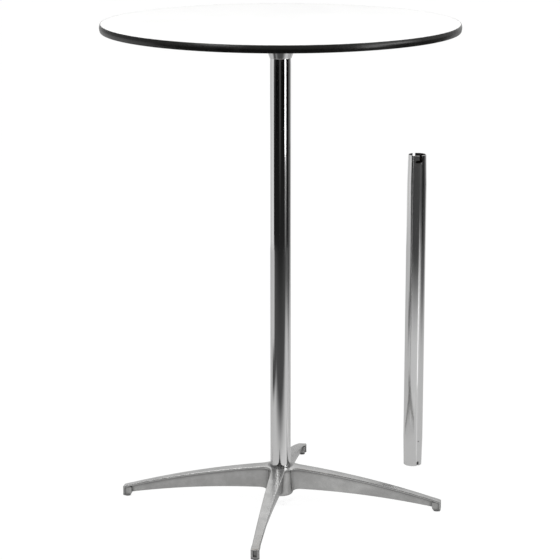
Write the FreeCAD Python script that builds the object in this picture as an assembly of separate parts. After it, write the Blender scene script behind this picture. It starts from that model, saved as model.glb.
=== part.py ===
import FreeCAD, Part
import math
import os

from FreeCAD import Vector

# A round pub table that comes apart: a laminated top on a cast spider, a chromed steel
# column with tapered ends, and a cast four-leg base. A shorter column stands beside it,
# ready to be swapped in for a lower table.
#
# Frame: millimetres, +Z up. The origin is on the floor under the middle of the base.
# Angles are in degrees, anticlockwise seen from above, from +X.

# ---------------------------------------------------------------- tabletop
TOP_DIAMETER = 762.0
TOP_THICKNESS = 16.0
LAMINATE = 0.8  # decorative sheet above the core and balancing sheet below it
BAND_WALL = 2.2  # moulded edge band outside the core
BAND_ROUND = 1.2  # its rounded outer corners
TONGUE_DEPTH = 8.0  # barbless tongue that holds the band in the core's groove
TONGUE_THICKNESS = 2.4
BAND_GAP = 0.1  # all round the band and its tongue

# ---------------------------------------------------------------- columns
LONG_COLUMN = 1016.0
SHORT_COLUMN = 736.6
TUBE_OD = 44.45
TUBE_WALL = 1.6
TAPER_LENGTH = 68.0  # swaged cone at each end
TAPER_END_OD = 41.3
END_BREAK = 0.4  # broken edge of a tube end
TAPER_GAP = 0.1  # radial, between a tube's cone and its socket
DIMPLE_HEIGHT = 62.0  # pressed mark over the lower notch, above the lower end
DIMPLE_RADIUS = 4.0
DIMPLE_DEPTH = 0.9

# ---------------------------------------------------------------- cross pins and bayonet
PIN_DIAMETER = 6.0
PIN_HOLE_GAP = 0.05  # radial, pin in casting
SLOT_GAP = 0.3  # pin in tube slot, each side
NOTCH_PIN_DEPTH = 7.4  # lower cross pin above the tube's lower end
BAYONET_PIN_DEPTH = 14.2  # upper cross pin below the tube's upper end
BAYONET_TWIST = 24.0  # turn that frees the tabletop
NOTCH_STAGGER = 13.0  # lower notch ahead of the upper slot, round the tube
PIN_INSET = 0.6  # pin end below the surface it enters

# ---------------------------------------------------------------- spider and collar
ARM_COUNT = 4
SPIDER_ROOF = 5.0  # over the column's upper end
SPIDER_PLATE = 8.0
SPIDER_ARM_TIP = 5.0  # arm thickness at its end
SPIDER_REACH = 150.0
SPIDER_DISC = 56.0
SPIDER_ROOT_HALF = 15.0
SPIDER_TIP_HALF = 11.0
SPIDER_CORNER = 18.0
BOSS_WALL = 5.0
BOSS_DEPTH = 49.0  # socket boss below the column's upper end
COLLAR_DEPTH = 54.0  # collar lip below the column's upper end
COLLAR_SHEET = 1.0
COLLAR_FLARE = 20.0
COLLAR_RUNNING_GAP = 0.3
COLLAR_SEAT_GAP = 0.3  # between collar and boss
COLLAR_FLANGE_WIDTH = 13.0

# ---------------------------------------------------------------- spider screws
SCREW_DIAMETER = 4.8
SCREW_HEAD = 9.5
SCREW_HEAD_HEIGHT = 3.2
SCREW_HEAD_ROUND = 2.0
SCREW_DRIVE = 1.4  # width and depth of the cross recess
SCREW_HOLE_GAP = 0.2  # radial, in metal
SCREW_PILOT_GAP = 0.05  # radial, in the board
SCREW_BITE = 11.0  # into the board
SCREW_POINT = 3.0
SCREW_TIP = 0.5  # radius of the blunted point
ARM_SCREW_INSET = 12.0  # from the arm's end

# ---------------------------------------------------------------- base casting
LEG_SIDES = ("right", "back", "left", "front")
LEG_COUNT = len(LEG_SIDES)
BASE_TURN = -8.54
LEG_REACH = 356.0
HUB_WALL = 5.8
HUB_BOTTOM = 26.0
HUB_ROUND = 5.5
SOCKET_FLOOR = 30.0
SOCKET_CHAMFER = 0.8
LEG_ROOT_HEIGHT = 89.0  # top of a leg at the hub
LEG_TOP_BOW = 6.3
LEG_UNDER_START = 36.0  # where the underside leaves the hub
LEG_UNDER_HEIGHT = 41.0
LEG_UNDER_END = 11.5
LEG_UNDER_BOW = 5.8
LEG_ROOT_HALF = 16.2  # half width of the top face, carried in to the axis
LEG_TIP_HALF = 8.6
LEG_CORNER = 20.0  # round between two legs
LIP_HEIGHT = 4.5
LIP_OVERHANG = 2.4
WEB_THICKNESS = 3.8
CROWN_THICKNESS = 7.0  # metal left over the hollow underside
HOLLOW_START = 34.0
HOLLOW_END = 322.0

# ---------------------------------------------------------------- feet and glides
FOOT_LENGTH = 19.0
FOOT_HALF_WIDTH = 10.0
FOOT_HEIGHT = 28.5
FOOT_ROUND = 2.0
FOOT_HEEL = 9.0  # slope at the inner lower corner
RECESS_HALF_WIDTH = 4.5
RECESS_HEIGHT = 14.0
RECESS_DEPTH = 2.5
RECESS_FLOOR = 7.0
GLIDE_DIAMETER = 13.0
GLIDE_PROUD = 1.0
GLIDE_STEM = 5.0
GLIDE_STEM_LENGTH = 7.0
GLIDE_STEM_GAP = 0.05
GLIDE_INSET = 9.0  # glide's middle from the foot's outer face

# ---------------------------------------------------------------- where the short column stands
SPARE_X = 310.0
SPARE_Y = 271.0
SPARE_TURN = -69.8

# ---------------------------------------------------------------- heights and radii that follow
COLUMN_END = SOCKET_FLOOR + LONG_COLUMN
TOP_UNDERSIDE = COLUMN_END + SPIDER_ROOF
TOP_FACE = TOP_UNDERSIDE + TOP_THICKNESS
CORE_RADIUS = TOP_DIAMETER / 2 - BAND_WALL
PLATE_UNDERSIDE = TOP_UNDERSIDE - SPIDER_PLATE
HUB_RADIUS = TUBE_OD / 2 + HUB_WALL
BOSS_RADIUS = TUBE_OD / 2 + BOSS_WALL
SLOT_HALF = PIN_DIAMETER / 2 + SLOT_GAP
BASE_PIN_HEIGHT = SOCKET_FLOOR + NOTCH_PIN_DEPTH
TOP_PIN_HEIGHT = COLUMN_END - BAYONET_PIN_DEPTH
BASE_PIN_ANGLE = BASE_TURN + 180.0 / LEG_COUNT
LONG_TURN = BASE_PIN_ANGLE - NOTCH_STAGGER
TOP_PIN_ANGLE = LONG_TURN - BAYONET_TWIST
GLIDE_REACH = LEG_REACH - GLIDE_INSET
FLARE = math.tan(math.radians(COLLAR_FLARE))
ABOVE_ALL = TOP_FACE + 10.0


def tube_radius(from_end):
    """Outer radius of a column at a distance from one of its ends."""
    share = min(max(from_end, 0.0), TAPER_LENGTH) / TAPER_LENGTH
    return (TAPER_END_OD + (TUBE_OD - TAPER_END_OD) * share) / 2


COLLAR_LIP = tube_radius(COLLAR_DEPTH) + COLLAR_RUNNING_GAP
COLLAR_SIDE = COLLAR_SHEET / math.cos(math.radians(COLLAR_FLARE))
COLLAR_TOP = COLLAR_LIP + (PLATE_UNDERSIDE - COLUMN_END + COLLAR_DEPTH) * FLARE
COLLAR_FLANGE = COLLAR_TOP + COLLAR_FLANGE_WIDTH
COLLAR_SCREW_CIRCLE = (COLLAR_TOP + COLLAR_SIDE + COLLAR_FLANGE) / 2
ARM_SCREW_CIRCLE = SPIDER_REACH - ARM_SCREW_INSET


# ---------------------------------------------------------------- shape helpers
def at(radius, height):
    """Point of a turned profile, drawn in the XZ plane."""
    return Vector(radius, 0, height)


def turned(edges):
    """Solid of revolution about Z from the edges of a closed profile."""
    return Part.Face(Part.Wire(edges)).revolve(Vector(), Vector(0, 0, 1), 360)


def lines(points):
    """Straight edges that join points in order."""
    return [Part.makeLine(a, b) for a, b in zip(points, points[1:])]


def turned_points(points):
    """Solid of revolution from the corners of a closed profile."""
    return turned(lines(points + points[:1]))


def arc_with_bow(start, end, bow):
    """Arc between two profile points that rises above its chord by bow at the middle."""
    chord = end - start
    normal = Vector(-chord.z, 0, chord.x).normalize()
    return Part.Arc(start, (start + end) * 0.5 + normal * bow, end).toShape()


def turn(shape, angle):
    """Copy of a shape turned about the Z axis."""
    copy = shape.copy()
    copy.rotate(Vector(), Vector(0, 0, 1), angle)
    return copy


def ring_of(shape, count):
    """Copies of a shape at equal angles about Z."""
    return [turn(shape, 360.0 * k / count) for k in range(count)]


def rod(radius, start, end):
    """Cylinder from one point to another."""
    return Part.makeCylinder(radius, start.distanceToPoint(end), start, end - start)


def star_prism(count, root_half, tip_half, reach, corner, inset, low, high):
    """Tapering arms at equal angles from +X with rounded inner corners, between two heights.

    inset moves the whole outline inwards, as for a web under an overhanging lip.
    """
    slope = (root_half - tip_half) / reach
    norm = math.hypot(1.0, slope)
    root = root_half - inset * norm
    tip = reach - inset
    round_radius = corner + inset
    half_angle = math.pi / count
    out = (root + round_radius * norm) / (slope * math.cos(half_angle) + math.sin(half_angle))
    middle = Vector(out * math.cos(half_angle), out * math.sin(half_angle), 0)
    touch = middle - Vector(slope, 1.0, 0) * (round_radius / norm)
    deepest = middle * (1 - round_radius / out)
    half = root - slope * tip
    side = [Vector(touch.x, -touch.y, 0), Vector(tip, -half, 0), Vector(tip, half, 0), touch]
    next_touch = FreeCAD.Rotation(Vector(0, 0, 1), 360.0 / count).multVec(side[0])
    corner_arc = Part.Arc(touch, deepest, next_touch).toShape()
    edges = []
    for k in range(count):
        edges += [turn(edge, 360.0 * k / count) for edge in lines(side) + [corner_arc]]
    prism = Part.Face(Part.Wire(edges)).extrude(Vector(0, 0, high - low))
    prism.translate(Vector(0, 0, low))
    return prism


# ---------------------------------------------------------------- tabletop pieces
def disc_piece(low, high):
    """Flat round sheet of the core's radius."""
    return Part.makeCylinder(CORE_RADIUS, high - low, Vector(0, 0, low))


def tongue_profile(gap):
    """Depth and half height of the band's tongue, or of its groove with a gap."""
    return CORE_RADIUS - TONGUE_DEPTH - gap, TONGUE_THICKNESS / 2 + gap


def pilot_holes(shape):
    """Cuts the screws' pilot holes out of a board or sheet."""
    radius = SCREW_DIAMETER / 2 + SCREW_PILOT_GAP
    top = Vector(0, 0, TOP_UNDERSIDE + SCREW_BITE + 1.0)
    holes = [rod(radius, Vector(0, 0, PLATE_UNDERSIDE), top)]
    for circle in (COLLAR_SCREW_CIRCLE, ARM_SCREW_CIRCLE):
        hole = holes[0].translated(Vector(circle, 0, 0))
        shape = shape.cut(Part.makeCompound(ring_of(hole, ARM_COUNT)))
    return shape


def core_board():
    """Board between the two sheets, with a groove round its edge."""
    board = disc_piece(TOP_UNDERSIDE + LAMINATE, TOP_FACE - LAMINATE)
    inner, half = tongue_profile(BAND_GAP)
    middle = (TOP_UNDERSIDE + TOP_FACE) / 2
    groove = turned_points(
        [
            at(inner, middle - half),
            at(CORE_RADIUS + 1.0, middle - half),
            at(CORE_RADIUS + 1.0, middle + half),
            at(inner, middle + half),
        ]
    )
    return pilot_holes(board.cut(groove))


def edge_band():
    """Moulded band round the rim, with rounded corners and a tongue."""
    outer = TOP_DIAMETER / 2
    inner = CORE_RADIUS + BAND_GAP
    tongue, half = tongue_profile(0.0)
    middle = (TOP_UNDERSIDE + TOP_FACE) / 2
    slant = BAND_ROUND * (1 - math.sqrt(0.5))
    low = TOP_UNDERSIDE
    high = TOP_FACE
    profile = lines(
        [
            at(outer, low + BAND_ROUND),
            at(outer, high - BAND_ROUND),
        ]
    )
    profile.append(
        Part.Arc(
            at(outer, high - BAND_ROUND), at(outer - slant, high - slant), at(outer - BAND_ROUND, high)
        ).toShape()
    )
    profile += lines(
        [
            at(outer - BAND_ROUND, high),
            at(inner, high),
            at(inner, middle + half),
            at(tongue, middle + half),
            at(tongue, middle - half),
            at(inner, middle - half),
            at(inner, low),
            at(outer - BAND_ROUND, low),
        ]
    )
    profile.append(
        Part.Arc(
            at(outer - BAND_ROUND, low), at(outer - slant, low + slant), at(outer, low + BAND_ROUND)
        ).toShape()
    )
    return turned(profile)


# ---------------------------------------------------------------- spider, collar and their screws
def socket_cone(floor, length, direction):
    """Tapered bore for a column's end: floor is where the end sits, direction is +1 up, -1 down."""
    gap = TAPER_GAP
    return turned_points(
        [
            at(0, floor),
            at(tube_radius(0) + gap, floor),
            at(tube_radius(length) + gap, floor + direction * length),
            at(0, floor + direction * length),
        ]
    )


def top_spider():
    """Cast four-arm spider with the upper socket's boss."""
    plate_low = PLATE_UNDERSIDE
    arm_low = TOP_UNDERSIDE - SPIDER_ARM_TIP
    arm_end = SPIDER_REACH - SPIDER_TIP_HALF
    plan = star_prism(
        ARM_COUNT, SPIDER_ROOT_HALF, SPIDER_TIP_HALF, arm_end, SPIDER_CORNER, 0.0, plate_low, TOP_UNDERSIDE
    )
    ends = Part.makeCylinder(SPIDER_TIP_HALF, SPIDER_PLATE, Vector(arm_end, 0, plate_low))
    disc = Part.makeCylinder(SPIDER_DISC, SPIDER_PLATE, Vector(0, 0, plate_low))
    plan = plan.multiFuse(ring_of(ends, ARM_COUNT) + [disc])
    section = turned_points(
        [
            at(0, plate_low),
            at(SPIDER_DISC, plate_low),
            at(ARM_SCREW_CIRCLE - SPIDER_TIP_HALF, arm_low),
            at(SPIDER_REACH + 1.0, arm_low),
            at(SPIDER_REACH + 1.0, TOP_UNDERSIDE),
            at(0, TOP_UNDERSIDE),
        ]
    )
    boss_low = COLUMN_END - BOSS_DEPTH
    lip_low = COLUMN_END - COLLAR_DEPTH
    seat = COLLAR_LIP - COLLAR_SEAT_GAP + (boss_low - lip_low) * FLARE
    boss = turned_points(
        [
            at(0, boss_low),
            at(seat, boss_low),
            at(BOSS_RADIUS, boss_low + (BOSS_RADIUS - seat) / FLARE),
            at(BOSS_RADIUS, TOP_UNDERSIDE - SPIDER_PLATE / 2),
            at(0, TOP_UNDERSIDE - SPIDER_PLATE / 2),
        ]
    )
    pin_reach = Vector(BOSS_RADIUS + 1.0, 0, TOP_PIN_HEIGHT)
    pin_hole = rod(PIN_DIAMETER / 2 + PIN_HOLE_GAP, Vector(-pin_reach.x, 0, TOP_PIN_HEIGHT), pin_reach)
    spider = plan.common(section).fuse(boss).cut(socket_cone(COLUMN_END, BOSS_DEPTH + 1.0, -1))
    spider = spider.cut(turn(pin_hole, TOP_PIN_ANGLE))
    radius = SCREW_DIAMETER / 2 + SCREW_HOLE_GAP
    for circle in (COLLAR_SCREW_CIRCLE, ARM_SCREW_CIRCLE):
        hole = rod(radius, Vector(circle, 0, plate_low - 1.0), Vector(circle, 0, TOP_UNDERSIDE + 1.0))
        spider = spider.cut(Part.makeCompound(ring_of(hole, ARM_COUNT)))
    return spider.removeSplitter()


def flared_collar():
    """Spun collar that covers the boss, with a flange under the spider's plate."""
    low = COLUMN_END - COLLAR_DEPTH
    high = PLATE_UNDERSIDE
    collar = turned_points(
        [
            at(COLLAR_LIP, low),
            at(COLLAR_LIP + COLLAR_SIDE, low),
            at(COLLAR_TOP + COLLAR_SIDE - COLLAR_SHEET * FLARE, high - COLLAR_SHEET),
            at(COLLAR_FLANGE, high - COLLAR_SHEET),
            at(COLLAR_FLANGE, high),
            at(COLLAR_TOP, high),
        ]
    )
    hole = rod(
        SCREW_DIAMETER / 2 + SCREW_HOLE_GAP,
        Vector(COLLAR_SCREW_CIRCLE, 0, high - COLLAR_SHEET - 1.0),
        Vector(COLLAR_SCREW_CIRCLE, 0, high + 1.0),
    )
    return collar.cut(Part.makeCompound(ring_of(hole, ARM_COUNT)))


def screws(circle, seat):
    """Pan-head screws on a circle, one to an arm, heads against the face at height seat."""
    radius = SCREW_DIAMETER / 2
    head = SCREW_HEAD / 2
    tip = TOP_UNDERSIDE + SCREW_BITE
    low = seat - SCREW_HEAD_HEIGHT
    flat = head - SCREW_HEAD_ROUND
    slant = SCREW_HEAD_ROUND * (1 - math.sqrt(0.5))
    crown = Part.Arc(at(flat, low), at(head - slant, low + slant), at(head, low + SCREW_HEAD_ROUND))
    profile = [crown.toShape()] + lines(
        [
            at(head, low + SCREW_HEAD_ROUND),
            at(head, seat),
            at(radius, seat),
            at(radius, tip - SCREW_POINT),
            at(SCREW_TIP, tip),
            at(0, tip),
            at(0, low),
            at(flat, low),
        ]
    )
    drive = Part.makeBox(
        SCREW_HEAD * 0.55, SCREW_DRIVE, SCREW_DRIVE, Vector(-SCREW_HEAD * 0.275, -SCREW_DRIVE / 2, low)
    )
    screw = turned(profile).cut([drive, turn(drive, 90.0)])
    screw.translate(Vector(circle, 0, 0))
    return Part.makeCompound(ring_of(screw, ARM_COUNT))


def top_lock_pin():
    """Cross pin through the spider's boss, hidden by the collar."""
    half = BOSS_RADIUS - PIN_INSET
    pin = rod(PIN_DIAMETER / 2, Vector(-half, 0, TOP_PIN_HEIGHT), Vector(half, 0, TOP_PIN_HEIGHT))
    return turn(pin, TOP_PIN_ANGLE)


# ---------------------------------------------------------------- columns
def radial_hole(height, angle):
    """Round cutter through one wall of a tube, towards an angle."""
    return turn(rod(SLOT_HALF, Vector(TUBE_OD / 4, 0, height), Vector(TUBE_OD, 0, height)), angle)


def slot_to_end(height, end, angle):
    """Straight cutter of a slot's width from a height to beyond a tube's end."""
    low, high = sorted((height, end))
    box = Part.makeBox(TUBE_OD * 0.75, 2 * SLOT_HALF, high - low, Vector(TUBE_OD / 4, -SLOT_HALF, low))
    return turn(box, angle)


def column(length):
    """Tube with swaged ends on the origin: bayonet slots above, notches below.

    The upper slots open at 0 and 180 degrees, and their branches run clockwise.
    """
    outer = [
        at(tube_radius(0) - END_BREAK, 0),
        at(tube_radius(END_BREAK), END_BREAK),
        at(TUBE_OD / 2, TAPER_LENGTH),
        at(TUBE_OD / 2, length - TAPER_LENGTH),
        at(tube_radius(END_BREAK), length - END_BREAK),
        at(tube_radius(0) - END_BREAK, length),
    ]
    inner = [
        at(tube_radius(0) - TUBE_WALL, length),
        at(TUBE_OD / 2 - TUBE_WALL, length - TAPER_LENGTH),
        at(TUBE_OD / 2 - TUBE_WALL, TAPER_LENGTH),
        at(tube_radius(0) - TUBE_WALL, 0),
    ]
    tube = turned_points(outer + inner)
    branch_low = Vector(0, 0, length - BAYONET_PIN_DEPTH - SLOT_HALF)
    branch = Part.makeCylinder(TUBE_OD, 2 * SLOT_HALF, branch_low, Vector(0, 0, 1), BAYONET_TWIST)
    core = Part.makeCylinder(TUBE_OD / 4, length)
    cutters = []
    for side in (0.0, 180.0):
        notch = side + NOTCH_STAGGER
        cutters += [
            slot_to_end(length - BAYONET_PIN_DEPTH, length + 1.0, side),
            radial_hole(length - BAYONET_PIN_DEPTH, side),
            radial_hole(length - BAYONET_PIN_DEPTH, side - BAYONET_TWIST),
            turn(branch, side - BAYONET_TWIST).cut(core),
            slot_to_end(-1.0, NOTCH_PIN_DEPTH, notch),
            radial_hole(NOTCH_PIN_DEPTH, notch),
        ]
    ball = (DIMPLE_RADIUS**2 + DIMPLE_DEPTH**2) / (2 * DIMPLE_DEPTH)
    dent_centre = Vector(tube_radius(DIMPLE_HEIGHT) - DIMPLE_DEPTH + ball, 0, DIMPLE_HEIGHT)
    dent = Part.makeSphere(ball, dent_centre)
    return tube.cut(cutters + [turn(dent, NOTCH_STAGGER)])


def long_column():
    """Column in the base's socket, its notches over the lower cross pin."""
    tube = turn(column(LONG_COLUMN), LONG_TURN)
    tube.translate(Vector(0, 0, SOCKET_FLOOR))
    return tube


def short_column():
    """The other column, standing on the floor beside the table."""
    tube = turn(column(SHORT_COLUMN), SPARE_TURN)
    tube.translate(Vector(SPARE_X, SPARE_Y, 0))
    return tube


# ---------------------------------------------------------------- base
def leg_top(drop):
    """Edges of a leg's upper line, from the axis to the foot's outer face, lowered by drop."""
    start = at(HUB_RADIUS, LEG_ROOT_HEIGHT - drop)
    end = at(LEG_REACH - FOOT_LENGTH, FOOT_HEIGHT - drop)
    return (
        [Part.makeLine(at(0, LEG_ROOT_HEIGHT - drop), start)]
        + [arc_with_bow(start, end, LEG_TOP_BOW)]
        + [Part.makeLine(end, at(LEG_REACH, FOOT_HEIGHT - drop))]
    )


def leg_plan(inset):
    """Outline of the four legs, moved inwards by inset, as a tall prism."""
    reach = LEG_REACH - FOOT_LENGTH / 2
    return star_prism(LEG_COUNT, LEG_ROOT_HALF, LEG_TIP_HALF, reach, LEG_CORNER, inset, -1.0, ABOVE_ALL)


def legs_lip():
    """Overhanging upper flange of the legs and hub."""
    plan = leg_plan(0.0)
    upper = leg_top(0.0)
    lower = leg_top(LIP_HEIGHT)
    ends = [
        Part.makeLine(at(LEG_REACH, FOOT_HEIGHT), at(LEG_REACH, FOOT_HEIGHT - LIP_HEIGHT)),
        Part.makeLine(at(0, LEG_ROOT_HEIGHT - LIP_HEIGHT), at(0, LEG_ROOT_HEIGHT)),
    ]
    return plan.common(turned(Part.__sortEdges__(upper + lower + ends)))


def legs_web():
    """Legs below the lip, down to their arched undersides, with the hub's rounded foot."""
    plan = leg_plan(LIP_OVERHANG)
    upper = leg_top(LIP_HEIGHT / 2)
    blend = LEG_UNDER_START - HUB_RADIUS
    under_start = at(LEG_UNDER_START, LEG_UNDER_HEIGHT)
    under_end = at(LEG_REACH - FOOT_LENGTH, LEG_UNDER_END)
    blend_start = at(HUB_RADIUS, LEG_UNDER_HEIGHT - blend)
    blend_middle = at(
        LEG_UNDER_START - blend * math.sqrt(0.5), LEG_UNDER_HEIGHT - blend * (1 - math.sqrt(0.5))
    )
    lower = [
        Part.makeLine(at(0, HUB_BOTTOM), at(HUB_RADIUS - HUB_ROUND, HUB_BOTTOM)),
        hub_corner(),
        Part.makeLine(at(HUB_RADIUS, HUB_BOTTOM + HUB_ROUND), blend_start),
        Part.Arc(blend_start, blend_middle, under_start).toShape(),
        arc_with_bow(under_start, under_end, LEG_UNDER_BOW),
        Part.makeLine(under_end, at(LEG_REACH, LEG_UNDER_END)),
    ]
    ends = [
        Part.makeLine(at(LEG_REACH, LEG_UNDER_END), at(LEG_REACH, FOOT_HEIGHT - LIP_HEIGHT / 2)),
        Part.makeLine(at(0, LEG_ROOT_HEIGHT - LIP_HEIGHT / 2), at(0, HUB_BOTTOM)),
    ]
    return plan.common(turned(Part.__sortEdges__(upper + lower + ends)))


def hub_corner():
    """Rounded lower corner of the hub's profile."""
    slant = HUB_ROUND * (1 - math.sqrt(0.5))
    return Part.Arc(
        at(HUB_RADIUS - HUB_ROUND, HUB_BOTTOM),
        at(HUB_RADIUS - slant, HUB_BOTTOM + slant),
        at(HUB_RADIUS, HUB_BOTTOM + HUB_ROUND),
    ).toShape()


def hub():
    """Round hub between the legs, up to just under their tops."""
    side = lines(
        [
            at(HUB_RADIUS, HUB_BOTTOM + HUB_ROUND),
            at(HUB_RADIUS, LEG_ROOT_HEIGHT - LIP_HEIGHT / 2),
            at(0, LEG_ROOT_HEIGHT - LIP_HEIGHT / 2),
            at(0, HUB_BOTTOM),
            at(HUB_RADIUS - HUB_ROUND, HUB_BOTTOM),
        ]
    )
    return turned(side + [hub_corner()])


def foot():
    """Foot of the +X leg: rounded block with a sloped heel and a recessed end face."""
    inner = LEG_REACH - FOOT_LENGTH
    low = Vector(inner, -FOOT_HALF_WIDTH, GLIDE_PROUD)
    block = Part.makeBox(FOOT_LENGTH, 2 * FOOT_HALF_WIDTH, FOOT_HEIGHT - GLIDE_PROUD, low)
    upright = [edge for edge in block.Edges if abs(edge.Vertexes[0].Z - edge.Vertexes[1].Z) > 1.0]
    block = block.makeFillet(FOOT_ROUND, upright)
    heel = lines(
        [
            at(inner - 1.0, GLIDE_PROUD - 1.0),
            at(inner + FOOT_HEEL, GLIDE_PROUD - 1.0),
            at(inner + FOOT_HEEL, GLIDE_PROUD),
            at(inner, LEG_UNDER_END),
            at(inner - 1.0, LEG_UNDER_END),
        ]
    )
    heel.append(Part.makeLine(at(inner - 1.0, LEG_UNDER_END), at(inner - 1.0, GLIDE_PROUD - 1.0)))
    wedge = Part.Face(Part.Wire(heel)).extrude(Vector(0, 4 * FOOT_HALF_WIDTH, 0))
    wedge.translate(Vector(0, -2 * FOOT_HALF_WIDTH, 0))
    recess = Part.makeBox(
        RECESS_DEPTH + 1.0,
        2 * RECESS_HALF_WIDTH,
        RECESS_HEIGHT,
        Vector(LEG_REACH - RECESS_DEPTH, -RECESS_HALF_WIDTH, RECESS_FLOOR),
    )
    return block.cut([wedge, recess])


def underside_hollow():
    """Channel under each leg, open downwards."""
    plan = leg_plan(LIP_OVERHANG + WEB_THICKNESS)
    upper = leg_top(CROWN_THICKNESS)
    ends = lines(
        [
            at(LEG_REACH, FOOT_HEIGHT - CROWN_THICKNESS),
            at(LEG_REACH, -1.0),
            at(0, -1.0),
            at(0, LEG_ROOT_HEIGHT - CROWN_THICKNESS),
        ]
    )
    under_crown = turned(Part.__sortEdges__(upper + ends))
    reach = Part.makeCylinder(HOLLOW_END, ABOVE_ALL, Vector(0, 0, -1.0)).cut(
        Part.makeCylinder(HOLLOW_START, ABOVE_ALL, Vector(0, 0, -1.0))
    )
    return plan.common(under_crown).common(reach)


def pin_bore():
    """Hole for the lower cross pin, through one hub wall and blind in the other."""
    start = Vector(-HUB_RADIUS + 2.0, 0, BASE_PIN_HEIGHT)
    end = Vector(HUB_RADIUS + 1.0, 0, BASE_PIN_HEIGHT)
    return rod(PIN_DIAMETER / 2 + PIN_HOLE_GAP, start, end)


def base_casting():
    """One-piece cast base: hub with a tapered socket, four hollow legs and their feet."""
    body = legs_web().fuse([hub(), legs_lip()] + ring_of(foot(), LEG_COUNT))
    body = body.cut(underside_hollow())
    mouth_radius = tube_radius(LEG_ROOT_HEIGHT - SOCKET_FLOOR) + TAPER_GAP
    mouth = turned_points(
        [
            at(0, LEG_ROOT_HEIGHT - SOCKET_CHAMFER),
            at(mouth_radius, LEG_ROOT_HEIGHT - SOCKET_CHAMFER),
            at(mouth_radius + 2 * SOCKET_CHAMFER, LEG_ROOT_HEIGHT + SOCKET_CHAMFER),
            at(0, LEG_ROOT_HEIGHT + SOCKET_CHAMFER),
        ]
    )
    stem = Part.makeCylinder(
        GLIDE_STEM / 2 + GLIDE_STEM_GAP, GLIDE_STEM_LENGTH + 1.0, Vector(GLIDE_REACH, 0, GLIDE_PROUD - 0.5)
    )
    cutters = [socket_cone(SOCKET_FLOOR, LEG_ROOT_HEIGHT - SOCKET_FLOOR + 1.0, 1), mouth]
    cutters.append(turn(pin_bore(), 180.0 / LEG_COUNT))
    body = body.cut(cutters + ring_of(stem, LEG_COUNT))
    return turn(body.removeSplitter(), BASE_TURN)


def base_lock_pin():
    """Cross pin in the base's socket, flush in the blind end of its hole."""
    start = Vector(-HUB_RADIUS + 2.0 + PIN_INSET, 0, BASE_PIN_HEIGHT)
    end = Vector(HUB_RADIUS - PIN_INSET, 0, BASE_PIN_HEIGHT)
    return turn(rod(PIN_DIAMETER / 2, start, end), BASE_PIN_ANGLE)


def glide(angle):
    """Pressed-in glide under the foot of the leg at an angle."""
    pad = Part.makeCylinder(GLIDE_DIAMETER / 2, GLIDE_PROUD, Vector(GLIDE_REACH, 0, 0))
    stem = Part.makeCylinder(GLIDE_STEM / 2, GLIDE_STEM_LENGTH + GLIDE_PROUD, Vector(GLIDE_REACH, 0, 0))
    return turn(pad.fuse(stem).removeSplitter(), angle)


# ---------------------------------------------------------------- every node
def nodes():
    """Name and shape of each separate piece."""
    pieces = {
        "core_board": core_board(),
        "top_laminate": disc_piece(TOP_FACE - LAMINATE, TOP_FACE),
        "backing_sheet": pilot_holes(disc_piece(TOP_UNDERSIDE, TOP_UNDERSIDE + LAMINATE)),
        "edge_band": edge_band(),
        "top_spider": top_spider(),
        "flared_collar": flared_collar(),
        "arm_screws": screws(ARM_SCREW_CIRCLE, TOP_UNDERSIDE - SPIDER_ARM_TIP),
        "collar_screws": screws(COLLAR_SCREW_CIRCLE, PLATE_UNDERSIDE - COLLAR_SHEET),
        "top_lock_pin": top_lock_pin(),
        "long_column": long_column(),
        "short_column": short_column(),
        "base_casting": base_casting(),
        "base_lock_pin": base_lock_pin(),
    }
    for k, side in enumerate(LEG_SIDES):
        pieces["glide_" + side] = glide(BASE_TURN + 360.0 * k / LEG_COUNT)
    return pieces


os.makedirs("parts", exist_ok=True)
for name, shape in nodes().items():
    shape.exportStep("parts/" + name + ".step")
    print(name, len(shape.Solids), "solid(s)", round(shape.Volume), "mm3", shape.isValid())
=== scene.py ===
import logging
import math
from collections.abc import Callable, Sequence
from dataclasses import dataclass
from enum import Enum
from typing import Any

import bmesh
import bpy
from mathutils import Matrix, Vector


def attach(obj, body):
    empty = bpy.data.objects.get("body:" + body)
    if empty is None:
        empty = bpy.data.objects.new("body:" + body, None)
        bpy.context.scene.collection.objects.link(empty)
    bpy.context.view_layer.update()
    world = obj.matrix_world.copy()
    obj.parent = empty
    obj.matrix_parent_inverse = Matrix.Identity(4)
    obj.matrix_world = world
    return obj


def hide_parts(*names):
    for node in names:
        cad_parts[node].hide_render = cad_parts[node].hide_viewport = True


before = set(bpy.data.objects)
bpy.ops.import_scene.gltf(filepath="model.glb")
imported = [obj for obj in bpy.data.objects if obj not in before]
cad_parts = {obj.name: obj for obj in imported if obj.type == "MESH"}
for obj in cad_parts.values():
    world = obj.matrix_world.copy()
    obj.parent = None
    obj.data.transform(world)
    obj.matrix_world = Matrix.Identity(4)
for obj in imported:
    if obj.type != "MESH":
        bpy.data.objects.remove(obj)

# Looks of a round pub table that comes apart: a laminated top with a black moulded edge on a
# cast spider, a chromed column with tapered ends, a cast four-leg base, and a shorter column
# that stands beside it. Metres, +Z up, the origin on the floor under the middle of the base.

Pair = tuple[float, float]
Triple = tuple[float, float, float]
Colour = tuple[float, float, float, float]

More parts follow.
